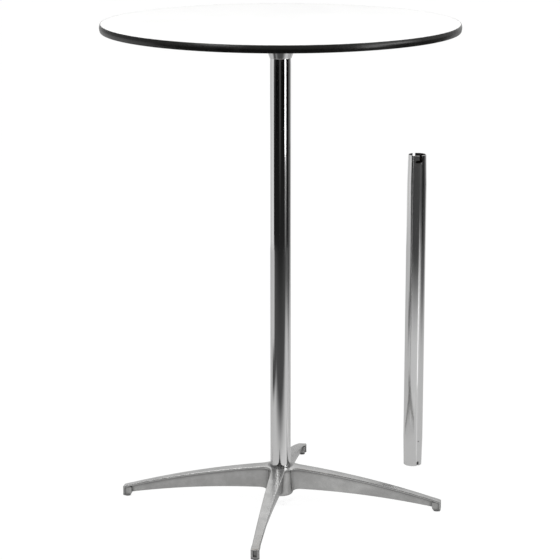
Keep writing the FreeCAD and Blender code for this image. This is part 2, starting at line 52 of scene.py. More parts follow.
MM = 0.001
EIGHTH_TURN = math.pi / 4.0
QUARTER_TURN = math.pi / 2.0
HALF_TURN = math.pi
FULL_TURN = 2.0 * math.pi
FOUR_QUARTERS = tuple(k * FULL_TURN / 4.0 for k in range(4))
RIGHT = Vector((1.0, 0.0, 0.0))
BACK = Vector((0.0, 1.0, 0.0))
UP = Vector((0.0, 0.0, 1.0))
WELD = 0.01 * MM  # points nearer than this are one point
RING_GRAIN = 0.05 * MM  # points of one ring agree this closely
PAST = 1.0 * MM  # how far a cutter goes beyond the face that it opens
FACING = 0.8  # least cosine between a face's normal and the way that it looks
SHARP = math.radians(38.0)  # least angle of an edge that is rounded
SMOOTH_LIMIT = math.radians(32.0)  # least angle of an edge that stays crisp in the shading
WHITE: Colour = (1.0, 1.0, 1.0, 1.0)
MIX_FIRST, MIX_SECOND, MIX_RESULT = 6, 7, 2  # a Mix node's sockets for colours
LOG = logging.getLogger("pub_table")

# Sizes that two sub-assemblies share.
BASE_TURN = math.radians(-8.54)
GLIDE_REACH = 347.0 * MM
GLIDE_TOP = 8.0 * MM
SOCKET_FLOOR = 30.0 * MM
PIN_BORE = 3.05 * MM
BOARD_UNDERSIDE = 1051.0 * MM
TABLE_HEIGHT = 1067.0 * MM
SPARE_AT: Pair = (310.0 * MM, 271.0 * MM)  # where the shorter column stands


# ------------------------------------------------------------------------------ workshop
class Element(Enum):
    """Kinds of mesh element that can be picked."""

    POINT = "VERT"
    EDGE = "EDGE"
    FACE = "FACE"


class Join(Enum):
    """Ways in which one closed workpiece changes another."""

    ADD = "UNION"
    CUT = "DIFFERENCE"


class Body(Enum):
    """Moving parts that pieces ride on."""

    BASE = "base"
    COLUMN = "column"
    TABLETOP = "tabletop"
    SPARE = "spare_column"


def start_clean() -> None:
    """Leaves edit mode and deselects everything."""
    if bpy.context.object is not None and bpy.context.object.mode != "OBJECT":
        bpy.ops.object.mode_set(mode="OBJECT")
    bpy.ops.object.select_all(action="DESELECT")


def arc(centre: Pair, radius: float, start: float, end: float, steps: int) -> list[Pair]:
    """Points along an arc between two angles in radians, both ends among them."""
    angles = [start + (end - start) * k / steps for k in range(steps + 1)]
    return [(centre[0] + radius * math.cos(a), centre[1] + radius * math.sin(a)) for a in angles]


def span(point: Vector) -> float:
    """Larger of a point's distances from the two upright middle planes."""
    return max(abs(point.x), abs(point.y))


@dataclass(frozen=True)
class Bow:
    """Height line of an arc that rises above its chord by a bow at its middle."""

    start: Pair
    end: Pair
    bow: float

    def at(self, distance: float) -> float:
        """Height of the line.

        Args:
            distance: Distance along the level.

        Returns:
            The height there.
        """
        run, rise = self.end[0] - self.start[0], self.end[1] - self.start[1]
        chord = math.hypot(run, rise)
        radius = (chord * chord / 4.0 + self.bow * self.bow) / (2.0 * self.bow)
        drop = radius - self.bow
        middle = (self.start[0] + self.end[0]) / 2.0 + rise / chord * drop
        level = (self.start[1] + self.end[1]) / 2.0 - run / chord * drop
        return level + math.sqrt(radius**2 - (distance - middle) ** 2)


class Workpiece:
    """A mesh that starts as a primitive and is shaped by edit-mode operators and modifiers."""

    def __init__(self, name: str) -> None:
        """Takes over the primitive that was just added.

        Args:
            name: Name of the piece.
        """
        self.obj: bpy.types.Object = bpy.context.object
        self.obj.name = name
        self.obj.data.name = name
        bpy.ops.object.transform_apply(location=True, rotation=True, scale=True)

    @classmethod
    def block(cls, name: str, low: Sequence[float], high: Sequence[float]) -> "Workpiece":
        """Starts from a cube that fills a box.

        Args:
            name: Name of the piece.
            low: Lowest corner.
            high: Highest corner.

        Returns:
            The new workpiece.
        """
        start_clean()
        corner, size = Vector(low), Vector(high) - Vector(low)
        bpy.ops.mesh.primitive_cube_add(size=1.0, location=corner + size / 2.0, scale=size)
        return cls(name)

    @classmethod
    def rod(
        cls, name: str, radius: float, start: Sequence[float], end: Sequence[float], steps: int = 32
    ) -> "Workpiece":
        """Starts from a cylinder between two points.

        Args:
            name: Name of the piece.
            radius: Radius of the cylinder.
            start: Middle of its first end.
            end: Middle of its other end.
            steps: Number of sides.

        Returns:
            The new workpiece.
        """
        start_clean()
        way = Vector(end) - Vector(start)
        bpy.ops.mesh.primitive_cylinder_add(
            vertices=steps,
            radius=radius,
            depth=way.length,
            location=(Vector(start) + Vector(end)) / 2.0,
            rotation=way.to_track_quat("Z", "Y").to_euler(),
        )
        return cls(name)

    @classmethod
    def drawn(cls, name: str, points: Sequence[Sequence[float]], closed: bool) -> "Workpiece":
        """Starts from a plane merged to one point, which is extruded from place to place.

        Args:
            name: Name of the piece.
            points: Places that the line goes through.
            closed: Whether the line returns to its first point.

        Returns:
            The new workpiece, in edit mode, a line with no faces.
        """
        start_clean()
        places = [Vector(p) for p in points]
        bpy.ops.mesh.primitive_plane_add(size=MM, location=places[0])
        piece = cls(name)
        piece.edit()
        bpy.ops.mesh.select_mode(type=Element.POINT.value)
        bpy.ops.mesh.select_all(action="SELECT")
        bpy.ops.mesh.merge(type="CENTER")
        for here, there in zip(places, places[1:] + places[:1] if closed else places[1:]):
            bpy.ops.mesh.extrude_vertices_move(TRANSFORM_OT_translate={"value": there - here})
        piece.weld()
        return piece

    @classmethod
    def turned(
        cls, name: str, outline: Sequence[Pair], steps: int, closed: bool = True, angle: float = FULL_TURN
    ) -> "Workpiece":
        """Draws an outline of radii and heights, and spins it round the Z axis.

        Args:
            name: Name of the piece.
            outline: Radius and height of each corner.
            steps: Steps in the turn.
            closed: Whether the outline returns to its first corner. An open one starts and ends on the axis.
            angle: How far it is spun.

        Returns:
            The new workpiece, in edit mode, with its faces pointing outwards.
        """
        piece = cls.drawn(name, [(radius, 0.0, height) for radius, height in outline], closed)
        bpy.ops.mesh.select_all(action="SELECT")
        bpy.ops.mesh.spin(steps=steps, angle=angle, center=(0.0, 0.0, 0.0), axis=UP)
        if angle < FULL_TURN:
            bpy.ops.mesh.select_all(action="SELECT")
            bpy.ops.mesh.fill_holes(sides=0)
        piece.weld()
        return piece

    @classmethod
    def slab(cls, name: str, outline: Sequence[Pair], levels: Sequence[float]) -> "Workpiece":
        """Draws an outline seen from above, fills it and extrudes it upwards.

        Args:
            name: Name of the piece.
            outline: Corners of the outline, anticlockwise.
            levels: Heights from the lowest to the highest, each one a row of points.

        Returns:
            The new workpiece, in edit mode.
        """
        piece = cls.drawn(name, [(x, y, levels[0]) for x, y in outline], closed=True)
        bpy.ops.mesh.select_all(action="SELECT")
        bpy.ops.mesh.edge_face_add()
        for low, high in zip(levels, levels[1:]):
            bpy.ops.mesh.extrude_region_move(TRANSFORM_OT_translate={"value": (0.0, 0.0, high - low)})
        piece.weld()
        return piece

    def edit(self) -> None:
        """Opens the piece, and only it, in edit mode."""
        start_clean()
        bpy.context.view_layer.objects.active = self.obj
        self.obj.select_set(True)
        bpy.ops.object.mode_set(mode="EDIT")

    def hold(self) -> None:
        """Selects the piece, and only it, in object mode."""
        start_clean()
        bpy.context.view_layer.objects.active = self.obj
        self.obj.select_set(True)

    def weld(self) -> None:
        """Merges doubled points, then turns every face outwards."""
        bpy.ops.mesh.select_all(action="SELECT")
        bpy.ops.mesh.remove_doubles(threshold=WELD)
        bpy.ops.mesh.normals_make_consistent(inside=False)

    def pick(self, element: Element, test: Callable[..., bool]) -> int:
        """Selects the elements that pass a test, and nothing else.

        Args:
            element: The kind of element.
            test: Takes a point's place; an edge's two ends and its angle; or a face's middle and normal.

        Returns:
            How many elements were selected.
        """
        bpy.ops.mesh.select_mode(type=element.value)
        bpy.ops.mesh.select_all(action="DESELECT")
        mesh = bmesh.from_edit_mesh(self.obj.data)
        if element is Element.POINT:
            chosen = [point for point in mesh.verts if test(point.co)]
        elif element is Element.EDGE:
            ends = [(edge, edge.verts[0].co, edge.verts[1].co) for edge in mesh.edges]
            chosen = [edge for edge, one, other in ends if test(one, other, edge.calc_face_angle(0.0))]
        else:
            chosen = [face for face in mesh.faces if test(face.calc_center_median(), face.normal)]
        for item in chosen:
            item.select_set(True)
        mesh.select_flush_mode()
        bmesh.update_edit_mesh(self.obj.data)
        return len(chosen)

    def lift(self, rise: Callable[[float, float], float]) -> None:
        """Moves points upwards by an amount that depends on where they are.

        Args:
            rise: Takes a point's distance from the Z axis and its height, and gives the amount.
        """
        rings: dict[tuple[int, int], list[int]] = {}
        for point in bmesh.from_edit_mesh(self.obj.data).verts:
            key = (round(point.co.xy.length / RING_GRAIN), round(point.co.z / RING_GRAIN))
            rings.setdefault(key, []).append(point.index)
        for (distance, height), members in rings.items():
            amount = rise(distance * RING_GRAIN, height * RING_GRAIN)
            if amount:
                self.shift(members, UP * amount)

    def shift(self, members: Sequence[int], step: Vector) -> None:
        """Moves the points with the given numbers.

        Args:
            members: The points' numbers.
            step: How far they move.
        """
        bpy.ops.mesh.select_mode(type=Element.POINT.value)
        bpy.ops.mesh.select_all(action="DESELECT")
        mesh = bmesh.from_edit_mesh(self.obj.data)
        mesh.verts.ensure_lookup_table()
        for index in members:
            mesh.verts[index].select_set(True)
        bmesh.update_edit_mesh(self.obj.data)
        bpy.ops.transform.translate(value=step)

    def slice(self, axis: Vector, places: Sequence[float]) -> None:
        """Adds a row of points where planes square to an axis pass through the piece.

        Args:
            axis: Direction of the planes' normal.
            places: Where the planes are along it.
        """
        for place in places:
            bpy.ops.mesh.select_all(action="SELECT")
            bpy.ops.mesh.bisect(plane_co=axis * place, plane_no=axis)

    def stations(self, distances: Sequence[float]) -> None:
        """Adds rows of points across four arms, and through their middle.

        Args:
            distances: How far the rows are from the Z axis.
        """
        places = [side * distance for distance in distances for side in (-1.0, 1.0)] + [0.0]
        for axis in (RIGHT, BACK):
            self.slice(axis, places)

    def bevel(self, width: float, steps: int, test: Callable[..., bool] = lambda one, other: True) -> None:
        """Rounds the sharp edges that pass a test.

        Args:
            width: How far the round reaches from the edge.
            steps: Segments across the round.
            test: Takes an edge's two ends; every edge passes if it is left out.
        """
        if not self.pick(Element.EDGE, lambda one, other, angle: abs(angle) > SHARP and test(one, other)):
            raise ValueError(f"{self.obj.name} has no sharp edge there")
        bpy.ops.mesh.bevel(offset=width, segments=steps, affect="EDGES", profile=0.5, clamp_overlap=True)

    def combine(self, other: "Workpiece", how: Join) -> None:
        """Changes this piece by another, which is used up.

        Args:
            other: The other workpiece.
            how: Whether the other is added or cut away.
        """
        self.hold()
        bpy.ops.object.modifier_add(type="BOOLEAN")
        modifier = self.obj.modifiers[-1]
        modifier.operation = how.value
        modifier.solver = "EXACT"
        modifier.object = other.obj
        bpy.ops.object.modifier_apply(modifier=modifier.name)
        bpy.data.objects.remove(other.obj)
        self.edit()
        self.weld()
        bpy.ops.mesh.dissolve_degenerate(threshold=WELD)
        start_clean()

    def copy(self, name: str) -> "Workpiece":
        """Makes a copy with its own mesh.

        Args:
            name: Name of the copy.

        Returns:
            The copy.
        """
        self.hold()
        bpy.ops.object.duplicate(linked=False)
        return Workpiece(name)

    def place(self, turn: float = 0.0, shift: Sequence[float] = (0.0, 0.0, 0.0)) -> "Workpiece":
        """Turns the piece about the Z axis, then shifts it, with its place kept in its mesh.

        Args:
            turn: Angle in radians, anticlockwise from above.
            shift: How far it moves.

        Returns:
            The same workpiece.
        """
        self.hold()
        self.obj.rotation_euler = (0.0, 0.0, turn)
        self.obj.location = shift
        bpy.ops.object.transform_apply(location=True, rotation=True, scale=True)
        return self

    def centred_on(self, bearing: float) -> "Workpiece":
        """Turns the piece about the Z axis until its middle is on a bearing.

        Args:
            bearing: Angle in radians, anticlockwise from above.

        Returns:
            The same workpiece.
        """
        start_clean()
        mean = sum((point.co for point in self.obj.data.vertices), Vector())
        return self.place(bearing - math.atan2(mean.y, mean.x))

    def absorb(self, others: Sequence["Workpiece"]) -> "Workpiece":
        """Joins other pieces' meshes to this one as loose parts.

        Args:
            others: The pieces that are used up.

        Returns:
            The same workpiece.
        """
        self.hold()
        for other in others:
            other.obj.select_set(True)
        bpy.ops.object.join()
        return self

    def ring(self) -> "Workpiece":
        """Repeats the piece at four quarters of a turn about the Z axis, as one workpiece."""
        return self.absorb([self.copy(f"{self.obj.name}_turned").place(turn) for turn in FOUR_QUARTERS[1:]])

    def paint(
        self, materials: Sequence[bpy.types.Material], inner: Callable[[Vector, Vector], bool] | None = None
    ) -> None:
        """Gives the piece its materials.

        Args:
            materials: The outer material, and the inner one if there is one.
            inner: Takes a face's middle and normal, and says whether the face has the inner material.
        """
        self.obj.data.materials.clear()
        for material in materials:
            self.obj.data.materials.append(material)
        if inner is not None:
            self.edit()
            self.pick(Element.FACE, inner)
            self.obj.active_material_index = 1
            bpy.ops.object.material_slot_assign()

    def finish(self, body: Body, slot: str, *nodes: str) -> None:
        """Smooths the shading, and hands the piece over to the body that it rides on.

        Args:
            body: The moving part that it rides on.
            slot: The record's name of its finish; not used.
            *nodes: Solids that it stands for.
        """
        self.hold()
        bpy.ops.object.shade_smooth_by_angle(angle=SMOOTH_LIMIT)
        bpy.ops.object.modifier_add(type="WEIGHTED_NORMAL")
        self.obj.modifiers[-1].keep_sharp = True
        bpy.ops.object.modifier_apply(modifier=self.obj.modifiers[-1].name)
        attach(self.obj, body.value)
        if nodes:
            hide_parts(*nodes)
        edges, faces = self.obj.data.edges, self.obj.data.polygons
        if sum(len(face.vertices) for face in faces) != 2 * len(edges):
            LOG.warning("%s isn't closed", self.obj.name)
        LOG.info("%s: %d faces, rides on %s", self.obj.name, len(faces), body.value)


# ------------------------------------------------------------------------------ materials
class Signal:
    """A value in a material. Arithmetic on it adds Math nodes."""

    def __init__(self, recipe: "Recipe", socket: bpy.types.NodeSocket) -> None:
        """Wraps an output socket of a recipe's node tree."""
        self.recipe = recipe
        self.socket = socket

    def _math(self, operation: str, *terms: "Signal | float") -> "Signal":
        """Adds a Math node on some terms."""
        return self.recipe.node("ShaderNodeMath", {"operation": operation}, dict(enumerate(terms)))

    def __add__(self, other: "Signal | float") -> "Signal":
        """Sum."""
        return self._math("ADD", self, other)

    def __sub__(self, other: "Signal | float") -> "Signal":
        """Difference."""
        return self._math("SUBTRACT", self, other)

    def __rsub__(self, other: float) -> "Signal":
        """Difference from a number."""
        return self._math("SUBTRACT", other, self)

    def __mul__(self, other: "Signal | float") -> "Signal":
        """Product."""
        return self._math("MULTIPLY", self, other)

    def __truediv__(self, other: "Signal | float") -> "Signal":
        """Quotient."""
        return self._math("DIVIDE", self, other)

    def __abs__(self) -> "Signal":
        """Size without its sign."""
        return self._math("ABSOLUTE", self)

    __radd__ = __add__
    __rmul__ = __mul__

    def larger(self, other: "Signal | float") -> "Signal":
        """The larger of two values."""
        return self._math("MAXIMUM", self, other)

    def rising(self, low: float, high: float) -> "Signal":
        """Goes from 0 at a low value to 1 at a high one, with soft ends."""
        sockets = {"Value": self, "From Min": low, "From Max": high}
        return self.recipe.node("ShaderNodeMapRange", {"interpolation_type": "SMOOTHSTEP"}, sockets)


class Recipe:
    """A node tree that is built node by node."""

    def __init__(self, tree: bpy.types.NodeTree) -> None:
        """Empties the node tree of a material or a world."""
        self.tree = tree
        self.tree.nodes.clear()

    def node(
        self,
        kind: str,
        settings: dict[str, Any] | None = None,
        sockets: dict[Any, Any] | None = None,
        output: str | int = 0,
    ) -> Signal | None:
        """Adds a node.

        Args:
            kind: Blender's name of the node type.
            settings: The node's own settings, such as a Math node's operation.
            sockets: Value or link of each socket, by name or number.
            output: Name or number of the output that is returned.

        Returns:
            The output, or None if the node has none.
        """
        node = self.tree.nodes.new(kind)
        for key, value in (settings or {}).items():
            setattr(node, key, value)
        for key, value in (sockets or {}).items():
            if isinstance(value, Signal):
                self.tree.links.new(value.socket, node.inputs[key])
            else:
                node.inputs[key].default_value = value
        return Signal(self, node.outputs[output]) if len(node.outputs) else None

    def place(self) -> Signal:
        """Object coordinates."""
        return self.node("ShaderNodeTexCoord", output="Object")

    def coordinate(self, place: Signal, axis: str) -> Signal:
        """One of a place's three coordinates."""
        return self.node("ShaderNodeSeparateXYZ", None, {0: place}, output=axis)

    def stretch(self, vector: Signal, scale: Sequence[float]) -> Signal:
        """Coordinates scaled by a different number along each axis."""
        return self.node("ShaderNodeVectorMath", {"operation": "MULTIPLY"}, {0: vector, 1: scale})

    def noise(
        self, vector: Signal, scale: float = 1.0, detail: float = 3.0, roughness: float = 0.5
    ) -> Signal:
        """Soft noise from 0 to 1: grains per metre, octaves, and the share of the finer ones."""
        sockets = {"Vector": vector, "Scale": scale, "Detail": detail, "Roughness": roughness}
        return self.node("ShaderNodeTexNoise", None, sockets)

    def openness(self, reach: float, samples: int) -> Signal:
        """How much a point sees within a reach, from 0 in a crevice to 1 in the open."""
        return self.node("ShaderNodeAmbientOcclusion", {"samples": samples}, {"Distance": reach}, output="AO")

    def blend(self, share: Signal, first: Signal | Colour, second: Signal | Colour) -> Signal:
        """Colour between two colours: a share of 0 gives the first and 1 the second."""
        sockets = {"Factor": share, MIX_FIRST: first, MIX_SECOND: second}
        return self.node("ShaderNodeMix", {"data_type": "RGBA"}, sockets, output=MIX_RESULT)

    def bump(self, height: Signal, depth: float, under: Signal | None = None) -> Signal:
        """Normal bent by a height from 0 to 1, with its depth in metres, over one that is bent already."""
        sockets = {"Strength": 1.0, "Distance": depth, "Height": height}
        return self.node("ShaderNodeBump", None, sockets if under is None else {**sockets, "Normal": under})

    def glow(self, colour: Signal | Colour, strength: Signal | float = 1.0) -> Signal:
        """Shader that shines by itself."""
        return self.node("ShaderNodeEmission", None, {"Color": colour, "Strength": strength})

    def ray(self, kind: str) -> Signal:
        """1 for what a kind of ray meets, and 0 for the rest."""
        return self.node("ShaderNodeLightPath", output=f"Is {kind} Ray")

    def either(self, share: Signal | float, first: Signal, second: Signal) -> Signal:
        """Mix of two shaders: 0 gives the first and 1 the second."""
        return self.node("ShaderNodeMixShader", None, {0: share, 1: first, 2: second})

    def show(self, shader: Signal, owner: str = "Material") -> None:
        """Puts a shader on the surface of the material or world."""
        self.node(f"ShaderNodeOutput{owner}", None, {"Surface": shader})


def new_material(name: str) -> tuple[bpy.types.Material, Recipe]:
    """Makes an empty material.

    Args:
        name: Name of the material.

    Returns:
        The material, and the recipe that fills it.
    """
    material = bpy.data.materials.new(name)
    material.use_nodes = True
    return material, Recipe(material.node_tree)


@dataclass(frozen=True)
class Finish:
    """A finish with one Principled shader. Each kind has its own sockets."""

    name: str

    def sockets(self, recipe: Recipe) -> dict[str, Any]:
        """Values and links of the shader's sockets, by name."""
        raise NotImplementedError

    def build(self) -> bpy.types.Material:
        """Makes the material.

        Returns:
            The material.
        """
        material, recipe = new_material(self.name)
        recipe.show(recipe.node("ShaderNodeBsdfPrincipled", None, self.sockets(recipe)))
        return material


@dataclass(frozen=True)
class BrightChrome(Finish):
    """Chrome plate on drawn steel tube: a mirror with a little haze and long polishing lines."""

    name: str = "bright_chrome"
    colour: Colour = (0.80, 0.80, 0.80, 1.0)
    shine: float = 0.05
    haze: float = 0.03
    haze_scale: float = 45.0
    line_haze: float = 0.015
    line_scale: Triple = (900.0, 900.0, 7.0)
    line_depth: float = 0.0005 * MM

    def sockets(self, recipe: Recipe) -> dict[str, Any]:
        """Makes the shader's inputs.

        Args:
            recipe: Recipe of the material.

        Returns:
            Values and links of the shader's sockets, by name.
        """
        place = recipe.place()
        cloud = recipe.noise(place, self.haze_scale, detail=4.0)
        lines = recipe.noise(recipe.stretch(place, self.line_scale), detail=2.0)
        return {
            "Base Color": self.colour,
            "Metallic": 1.0,
            "Roughness": self.shine + cloud * self.haze + lines * self.line_haze,
            "Normal": recipe.bump(lines, self.line_depth),
        }


@dataclass(frozen=True)
class BareSteel(Finish):
    """Inside of a tube: bare steel that the plating hardly reaches, dull and patchy, with its colour darkened
    as painted shade for the inside of the bore.
    """

    name: str = "bare_steel"
    # Both colours are kept far below bare steel's, as painted shade inside the bore.
    dark: Colour = (0.05, 0.048, 0.045, 1.0)
    light: Colour = (0.14, 0.135, 0.13, 1.0)
    patch_scale: float = 60.0
    patch_fade: Pair = (0.35, 0.7)
    patch_depth: float = 0.05 * MM
    roughness: float = 0.45
    patch_roughness: float = 0.25

    def sockets(self, recipe: Recipe) -> dict[str, Any]:
        """Makes the shader's inputs.

        Args:
            recipe: Recipe of the material.

        Returns:
            Values and links of the shader's sockets, by name.
        """
        patches = recipe.noise(recipe.place(), self.patch_scale, detail=6.0, roughness=0.65)
        return {
            "Base Color": recipe.blend(patches.rising(*self.patch_fade), self.dark, self.light),
            "Metallic": 1.0,
            "Roughness": self.roughness + patches * self.patch_roughness,
            "Normal": recipe.bump(patches, self.patch_depth),
        }


@dataclass(frozen=True)
class SatinCasting(Finish):
    """Tumbled aluminium casting: satin, finely pitted and uneven in tone, with painted shade that darkens its
    recesses.
    """

    name: str = "satin_casting"
    light: Colour = (0.56, 0.56, 0.555, 1.0)
    dark: Colour = (0.47, 0.47, 0.465, 1.0)
    # Colour of the painted shade in recesses, under the lip and in inner corners.
    recess: Colour = (0.26, 0.26, 0.258, 1.0)
    painted_shade_reach: float = 9.5 * MM
    painted_shade_fade: Pair = (0.78, 0.97)
    painted_shade_samples: int = 12
    cloud_scale: float = 38.0
    cloud_fade: Pair = (0.3, 0.7)
    grain_scale: float = 1100.0
    grain_depth: float = 0.012 * MM
    dimple_scale: float = 260.0
    dimple_depth: float = 0.03 * MM
    roughness: float = 0.16
    cloud_roughness: float = 0.08
    grain_roughness: float = 0.06

    def sockets(self, recipe: Recipe) -> dict[str, Any]:
        """Makes the shader's inputs.

        Args:
            recipe: Recipe of the material.

        Returns:
            Values and links of the shader's sockets, by name.
        """
        place = recipe.place()
        grain = recipe.noise(place, self.grain_scale, roughness=0.6)
        cloud = recipe.noise(place, self.cloud_scale, detail=4.0, roughness=0.6)
        dimples = recipe.noise(place, self.dimple_scale, detail=2.0)
        # Painted shade: ambient occlusion blends the base colour towards the shade colour where the surface
        # is enclosed.
        unshaded_share = recipe.openness(self.painted_shade_reach, self.painted_shade_samples).rising(*self.painted_shade_fade)
        tone = recipe.blend(cloud.rising(*self.cloud_fade), self.dark, self.light)
        return {
            "Base Color": recipe.blend(unshaded_share, self.recess, tone),
            "Metallic": 1.0,
            "Roughness": self.roughness + cloud * self.cloud_roughness + grain * self.grain_roughness,
            "Normal": recipe.bump(dimples, self.dimple_depth, recipe.bump(grain, self.grain_depth)),
        }


@dataclass(frozen=True)
class WhiteLaminate(Finish):
    """White decorative laminate with the faint orange peel of its press plate."""

    name: str = "white_laminate"
    colour: Colour = (0.93, 0.93, 0.925, 1.0)
    cloud_colour: Colour = (0.90, 0.90, 0.895, 1.0)
    cloud_scale: float = 9.0
    cloud_fade: Pair = (0.4, 0.8)
    peel_scale: float = 1300.0
    peel_depth: float = 0.012 * MM
    roughness: float = 0.30
    cloud_roughness: float = 0.08
    peel_roughness: float = 0.04

    def sockets(self, recipe: Recipe) -> dict[str, Any]:
        """Makes the shader's inputs.

        Args:
            recipe: Recipe of the material.

        Returns:
            Values and links of the shader's sockets, by name.
        """
        place = recipe.place()
        peel = recipe.noise(place, self.peel_scale, detail=1.0)
        cloud = recipe.noise(place, self.cloud_scale)
        return {
            "Base Color": recipe.blend(cloud.rising(*self.cloud_fade), self.colour, self.cloud_colour),
            "Roughness": self.roughness + cloud * self.cloud_roughness + peel * self.peel_roughness,
            "Normal": recipe.bump(peel, self.peel_depth),
        }


@dataclass(frozen=True)
class BlackMoulding(Finish):
    """Black moulded plastic with a soft sheen and a fine grain."""

    name: str = "black_moulding"
    colour: Colour = (0.0045, 0.0045, 0.004, 1.0)
    worn: Colour = (0.009, 0.009, 0.0085, 1.0)
    wear_scale: float = 30.0
    wear_fade: Pair = (0.45, 0.75)
    grain_scale: float = 1700.0
    grain_depth: float = 0.02 * MM
    roughness: float = 0.20
    wear_roughness: float = 0.08
    grain_roughness: float = 0.05

    def sockets(self, recipe: Recipe) -> dict[str, Any]:
        """Makes the shader's inputs.

        Args:
            recipe: Recipe of the material.

        Returns:
            Values and links of the shader's sockets, by name.
        """
        place = recipe.place()
        grain = recipe.noise(place, self.grain_scale, detail=2.0)
        wear = recipe.noise(place, self.wear_scale, detail=5.0, roughness=0.6)
        return {
            "Base Color": recipe.blend(wear.rising(*self.wear_fade), self.colour, self.worn),
            "Roughness": self.roughness + wear * self.wear_roughness + grain * self.grain_roughness,
            "Normal": recipe.bump(grain, self.grain_depth),
        }


@dataclass(frozen=True)
class BalancingSheet(Finish):
    """Brown resin paper under the board, mottled by its fibres."""

    name: str = "balancing_sheet"
    light: Colour = (0.52, 0.42, 0.31, 1.0)
    dark: Colour = (0.36, 0.27, 0.19, 1.0)
    tone_fade: Pair = (0.35, 0.65)
    fibre_scale: Triple = (160.0, 520.0, 160.0)
    fibre_share: float = 0.6
    fibre_depth: float = 0.02 * MM
    mottle_scale: float = 22.0
    roughness: float = 0.42
    fibre_roughness: float = 0.15

    def sockets(self, recipe: Recipe) -> dict[str, Any]:
        """Makes the shader's inputs.

        Args:
            recipe: Recipe of the material.

        Returns:
            Values and links of the shader's sockets, by name.
        """
        place = recipe.place()
        fibres = recipe.noise(recipe.stretch(place, self.fibre_scale), detail=4.0, roughness=0.6)
        mottle = recipe.noise(place, self.mottle_scale, detail=5.0)
        tone = fibres * self.fibre_share + mottle * (1.0 - self.fibre_share)
        return {
            "Base Color": recipe.blend(tone.rising(*self.tone_fade), self.dark, self.light),
            "Roughness": self.roughness + fibres * self.fibre_roughness,
            "Normal": recipe.bump(fibres, self.fibre_depth),
        }


@dataclass(frozen=True)
class PressedBoard(Finish):
    """Pressed wood particles."""

    name: str = "pressed_board"
    light: Colour = (0.62, 0.47, 0.31, 1.0)
    dark: Colour = (0.33, 0.22, 0.13, 1.0)
    chip_scale: Triple = (420.0, 420.0, 900.0)
    chip_share: float = 0.6
    chip_relief: float = 0.5
    chip_depth: float = 0.15 * MM
    fibre_scale: float = 2.0
    roughness: float = 0.75
    fibre_roughness: float = 0.2

    def sockets(self, recipe: Recipe) -> dict[str, Any]:
        """Makes the shader's inputs.

        Args:
            recipe: Recipe of the material.

        Returns:
            Values and links of the shader's sockets, by name.
        """
        place = recipe.stretch(recipe.place(), self.chip_scale)
        chips = recipe.node("ShaderNodeTexVoronoi", None, {"Vector": place, "Scale": 1.0}, output="Color")
        shade = recipe.node("ShaderNodeSeparateColor", None, {"Color": chips}, output="Red")
        fibre = recipe.noise(place, self.fibre_scale, detail=4.0)
        tone = shade * self.chip_share + fibre * (1.0 - self.chip_share)
        relief = shade * self.chip_relief + fibre * (1.0 - self.chip_relief)
        return {
            "Base Color": recipe.blend(tone, self.dark, self.light),
            "Roughness": self.roughness + fibre * self.fibre_roughness,
            "Normal": recipe.bump(relief, self.chip_depth),
        }


@dataclass(frozen=True)
class ZincPlate(Finish):
    """Bright zinc on screws and pins, slightly blue and cloudy."""

    name: str = "zinc_plate"
    light: Colour = (0.66, 0.67, 0.70, 1.0)
    dark: Colour = (0.46, 0.47, 0.48, 1.0)
    cloud_scale: float = 420.0
    cloud_fade: Pair = (0.35, 0.65)
    spangle_scale: float = 2600.0
    spangle_depth: float = 0.01 * MM
    roughness: float = 0.26
    cloud_roughness: float = 0.12

    def sockets(self, recipe: Recipe) -> dict[str, Any]:
        """Makes the shader's inputs.

        Args:
            recipe: Recipe of the material.

        Returns:
            Values and links of the shader's sockets, by name.
        """
        place = recipe.place()
        cloud = recipe.noise(place, self.cloud_scale, detail=4.0)
        spangle = recipe.noise(place, self.spangle_scale, detail=2.0)
        return {
            "Base Color": recipe.blend(cloud.rising(*self.cloud_fade), self.dark, self.light),
            "Metallic": 1.0,
            "Roughness": self.roughness + cloud * self.cloud_roughness,
            "Normal": recipe.bump(spangle, self.spangle_depth),
        }


@dataclass(frozen=True)
class GlideNylon(Finish):
    """Grey nylon, scuffed where it meets the floor."""

    name: str = "glide_nylon"
    colour: Colour = (0.075, 0.075, 0.078, 1.0)
    scuffed: Colour = (0.20, 0.20, 0.20, 1.0)
    scuff_scale: Triple = (900.0, 200.0, 400.0)
    scuff_fade: Pair = (0.52, 0.72)
    scuff_depth: float = 0.03 * MM
    roughness: float = 0.45
    scuff_roughness: float = 0.25

    def sockets(self, recipe: Recipe) -> dict[str, Any]:
        """Makes the shader's inputs.

        Args:
            recipe: Recipe of the material.

        Returns:
            Values and links of the shader's sockets, by name.
        """
        scuffs = recipe.noise(recipe.stretch(recipe.place(), self.scuff_scale), detail=5.0, roughness=0.7)
        return {
            "Base Color": recipe.blend(scuffs.rising(*self.scuff_fade), self.colour, self.scuffed),
            "Roughness": self.roughness + scuffs * self.scuff_roughness,
            "Normal": recipe.bump(scuffs, self.scuff_depth),
        }


class Finishes:
    """Every finish of the table, made once."""

    def __init__(self) -> None:
        """Builds the materials."""
        self.chrome = BrightChrome().build()
        self.dull_chrome = BrightChrome(name="dull_chrome", shine=0.13).build()
        self.steel = BareSteel().build()
        self.casting = SatinCasting().build()
        self.laminate = WhiteLaminate().build()
        self.moulding = BlackMoulding().build()
        self.backing = BalancingSheet().build()
        self.board = PressedBoard().build()
        self.zinc = ZincPlate().build()
        self.nylon = GlideNylon().build()


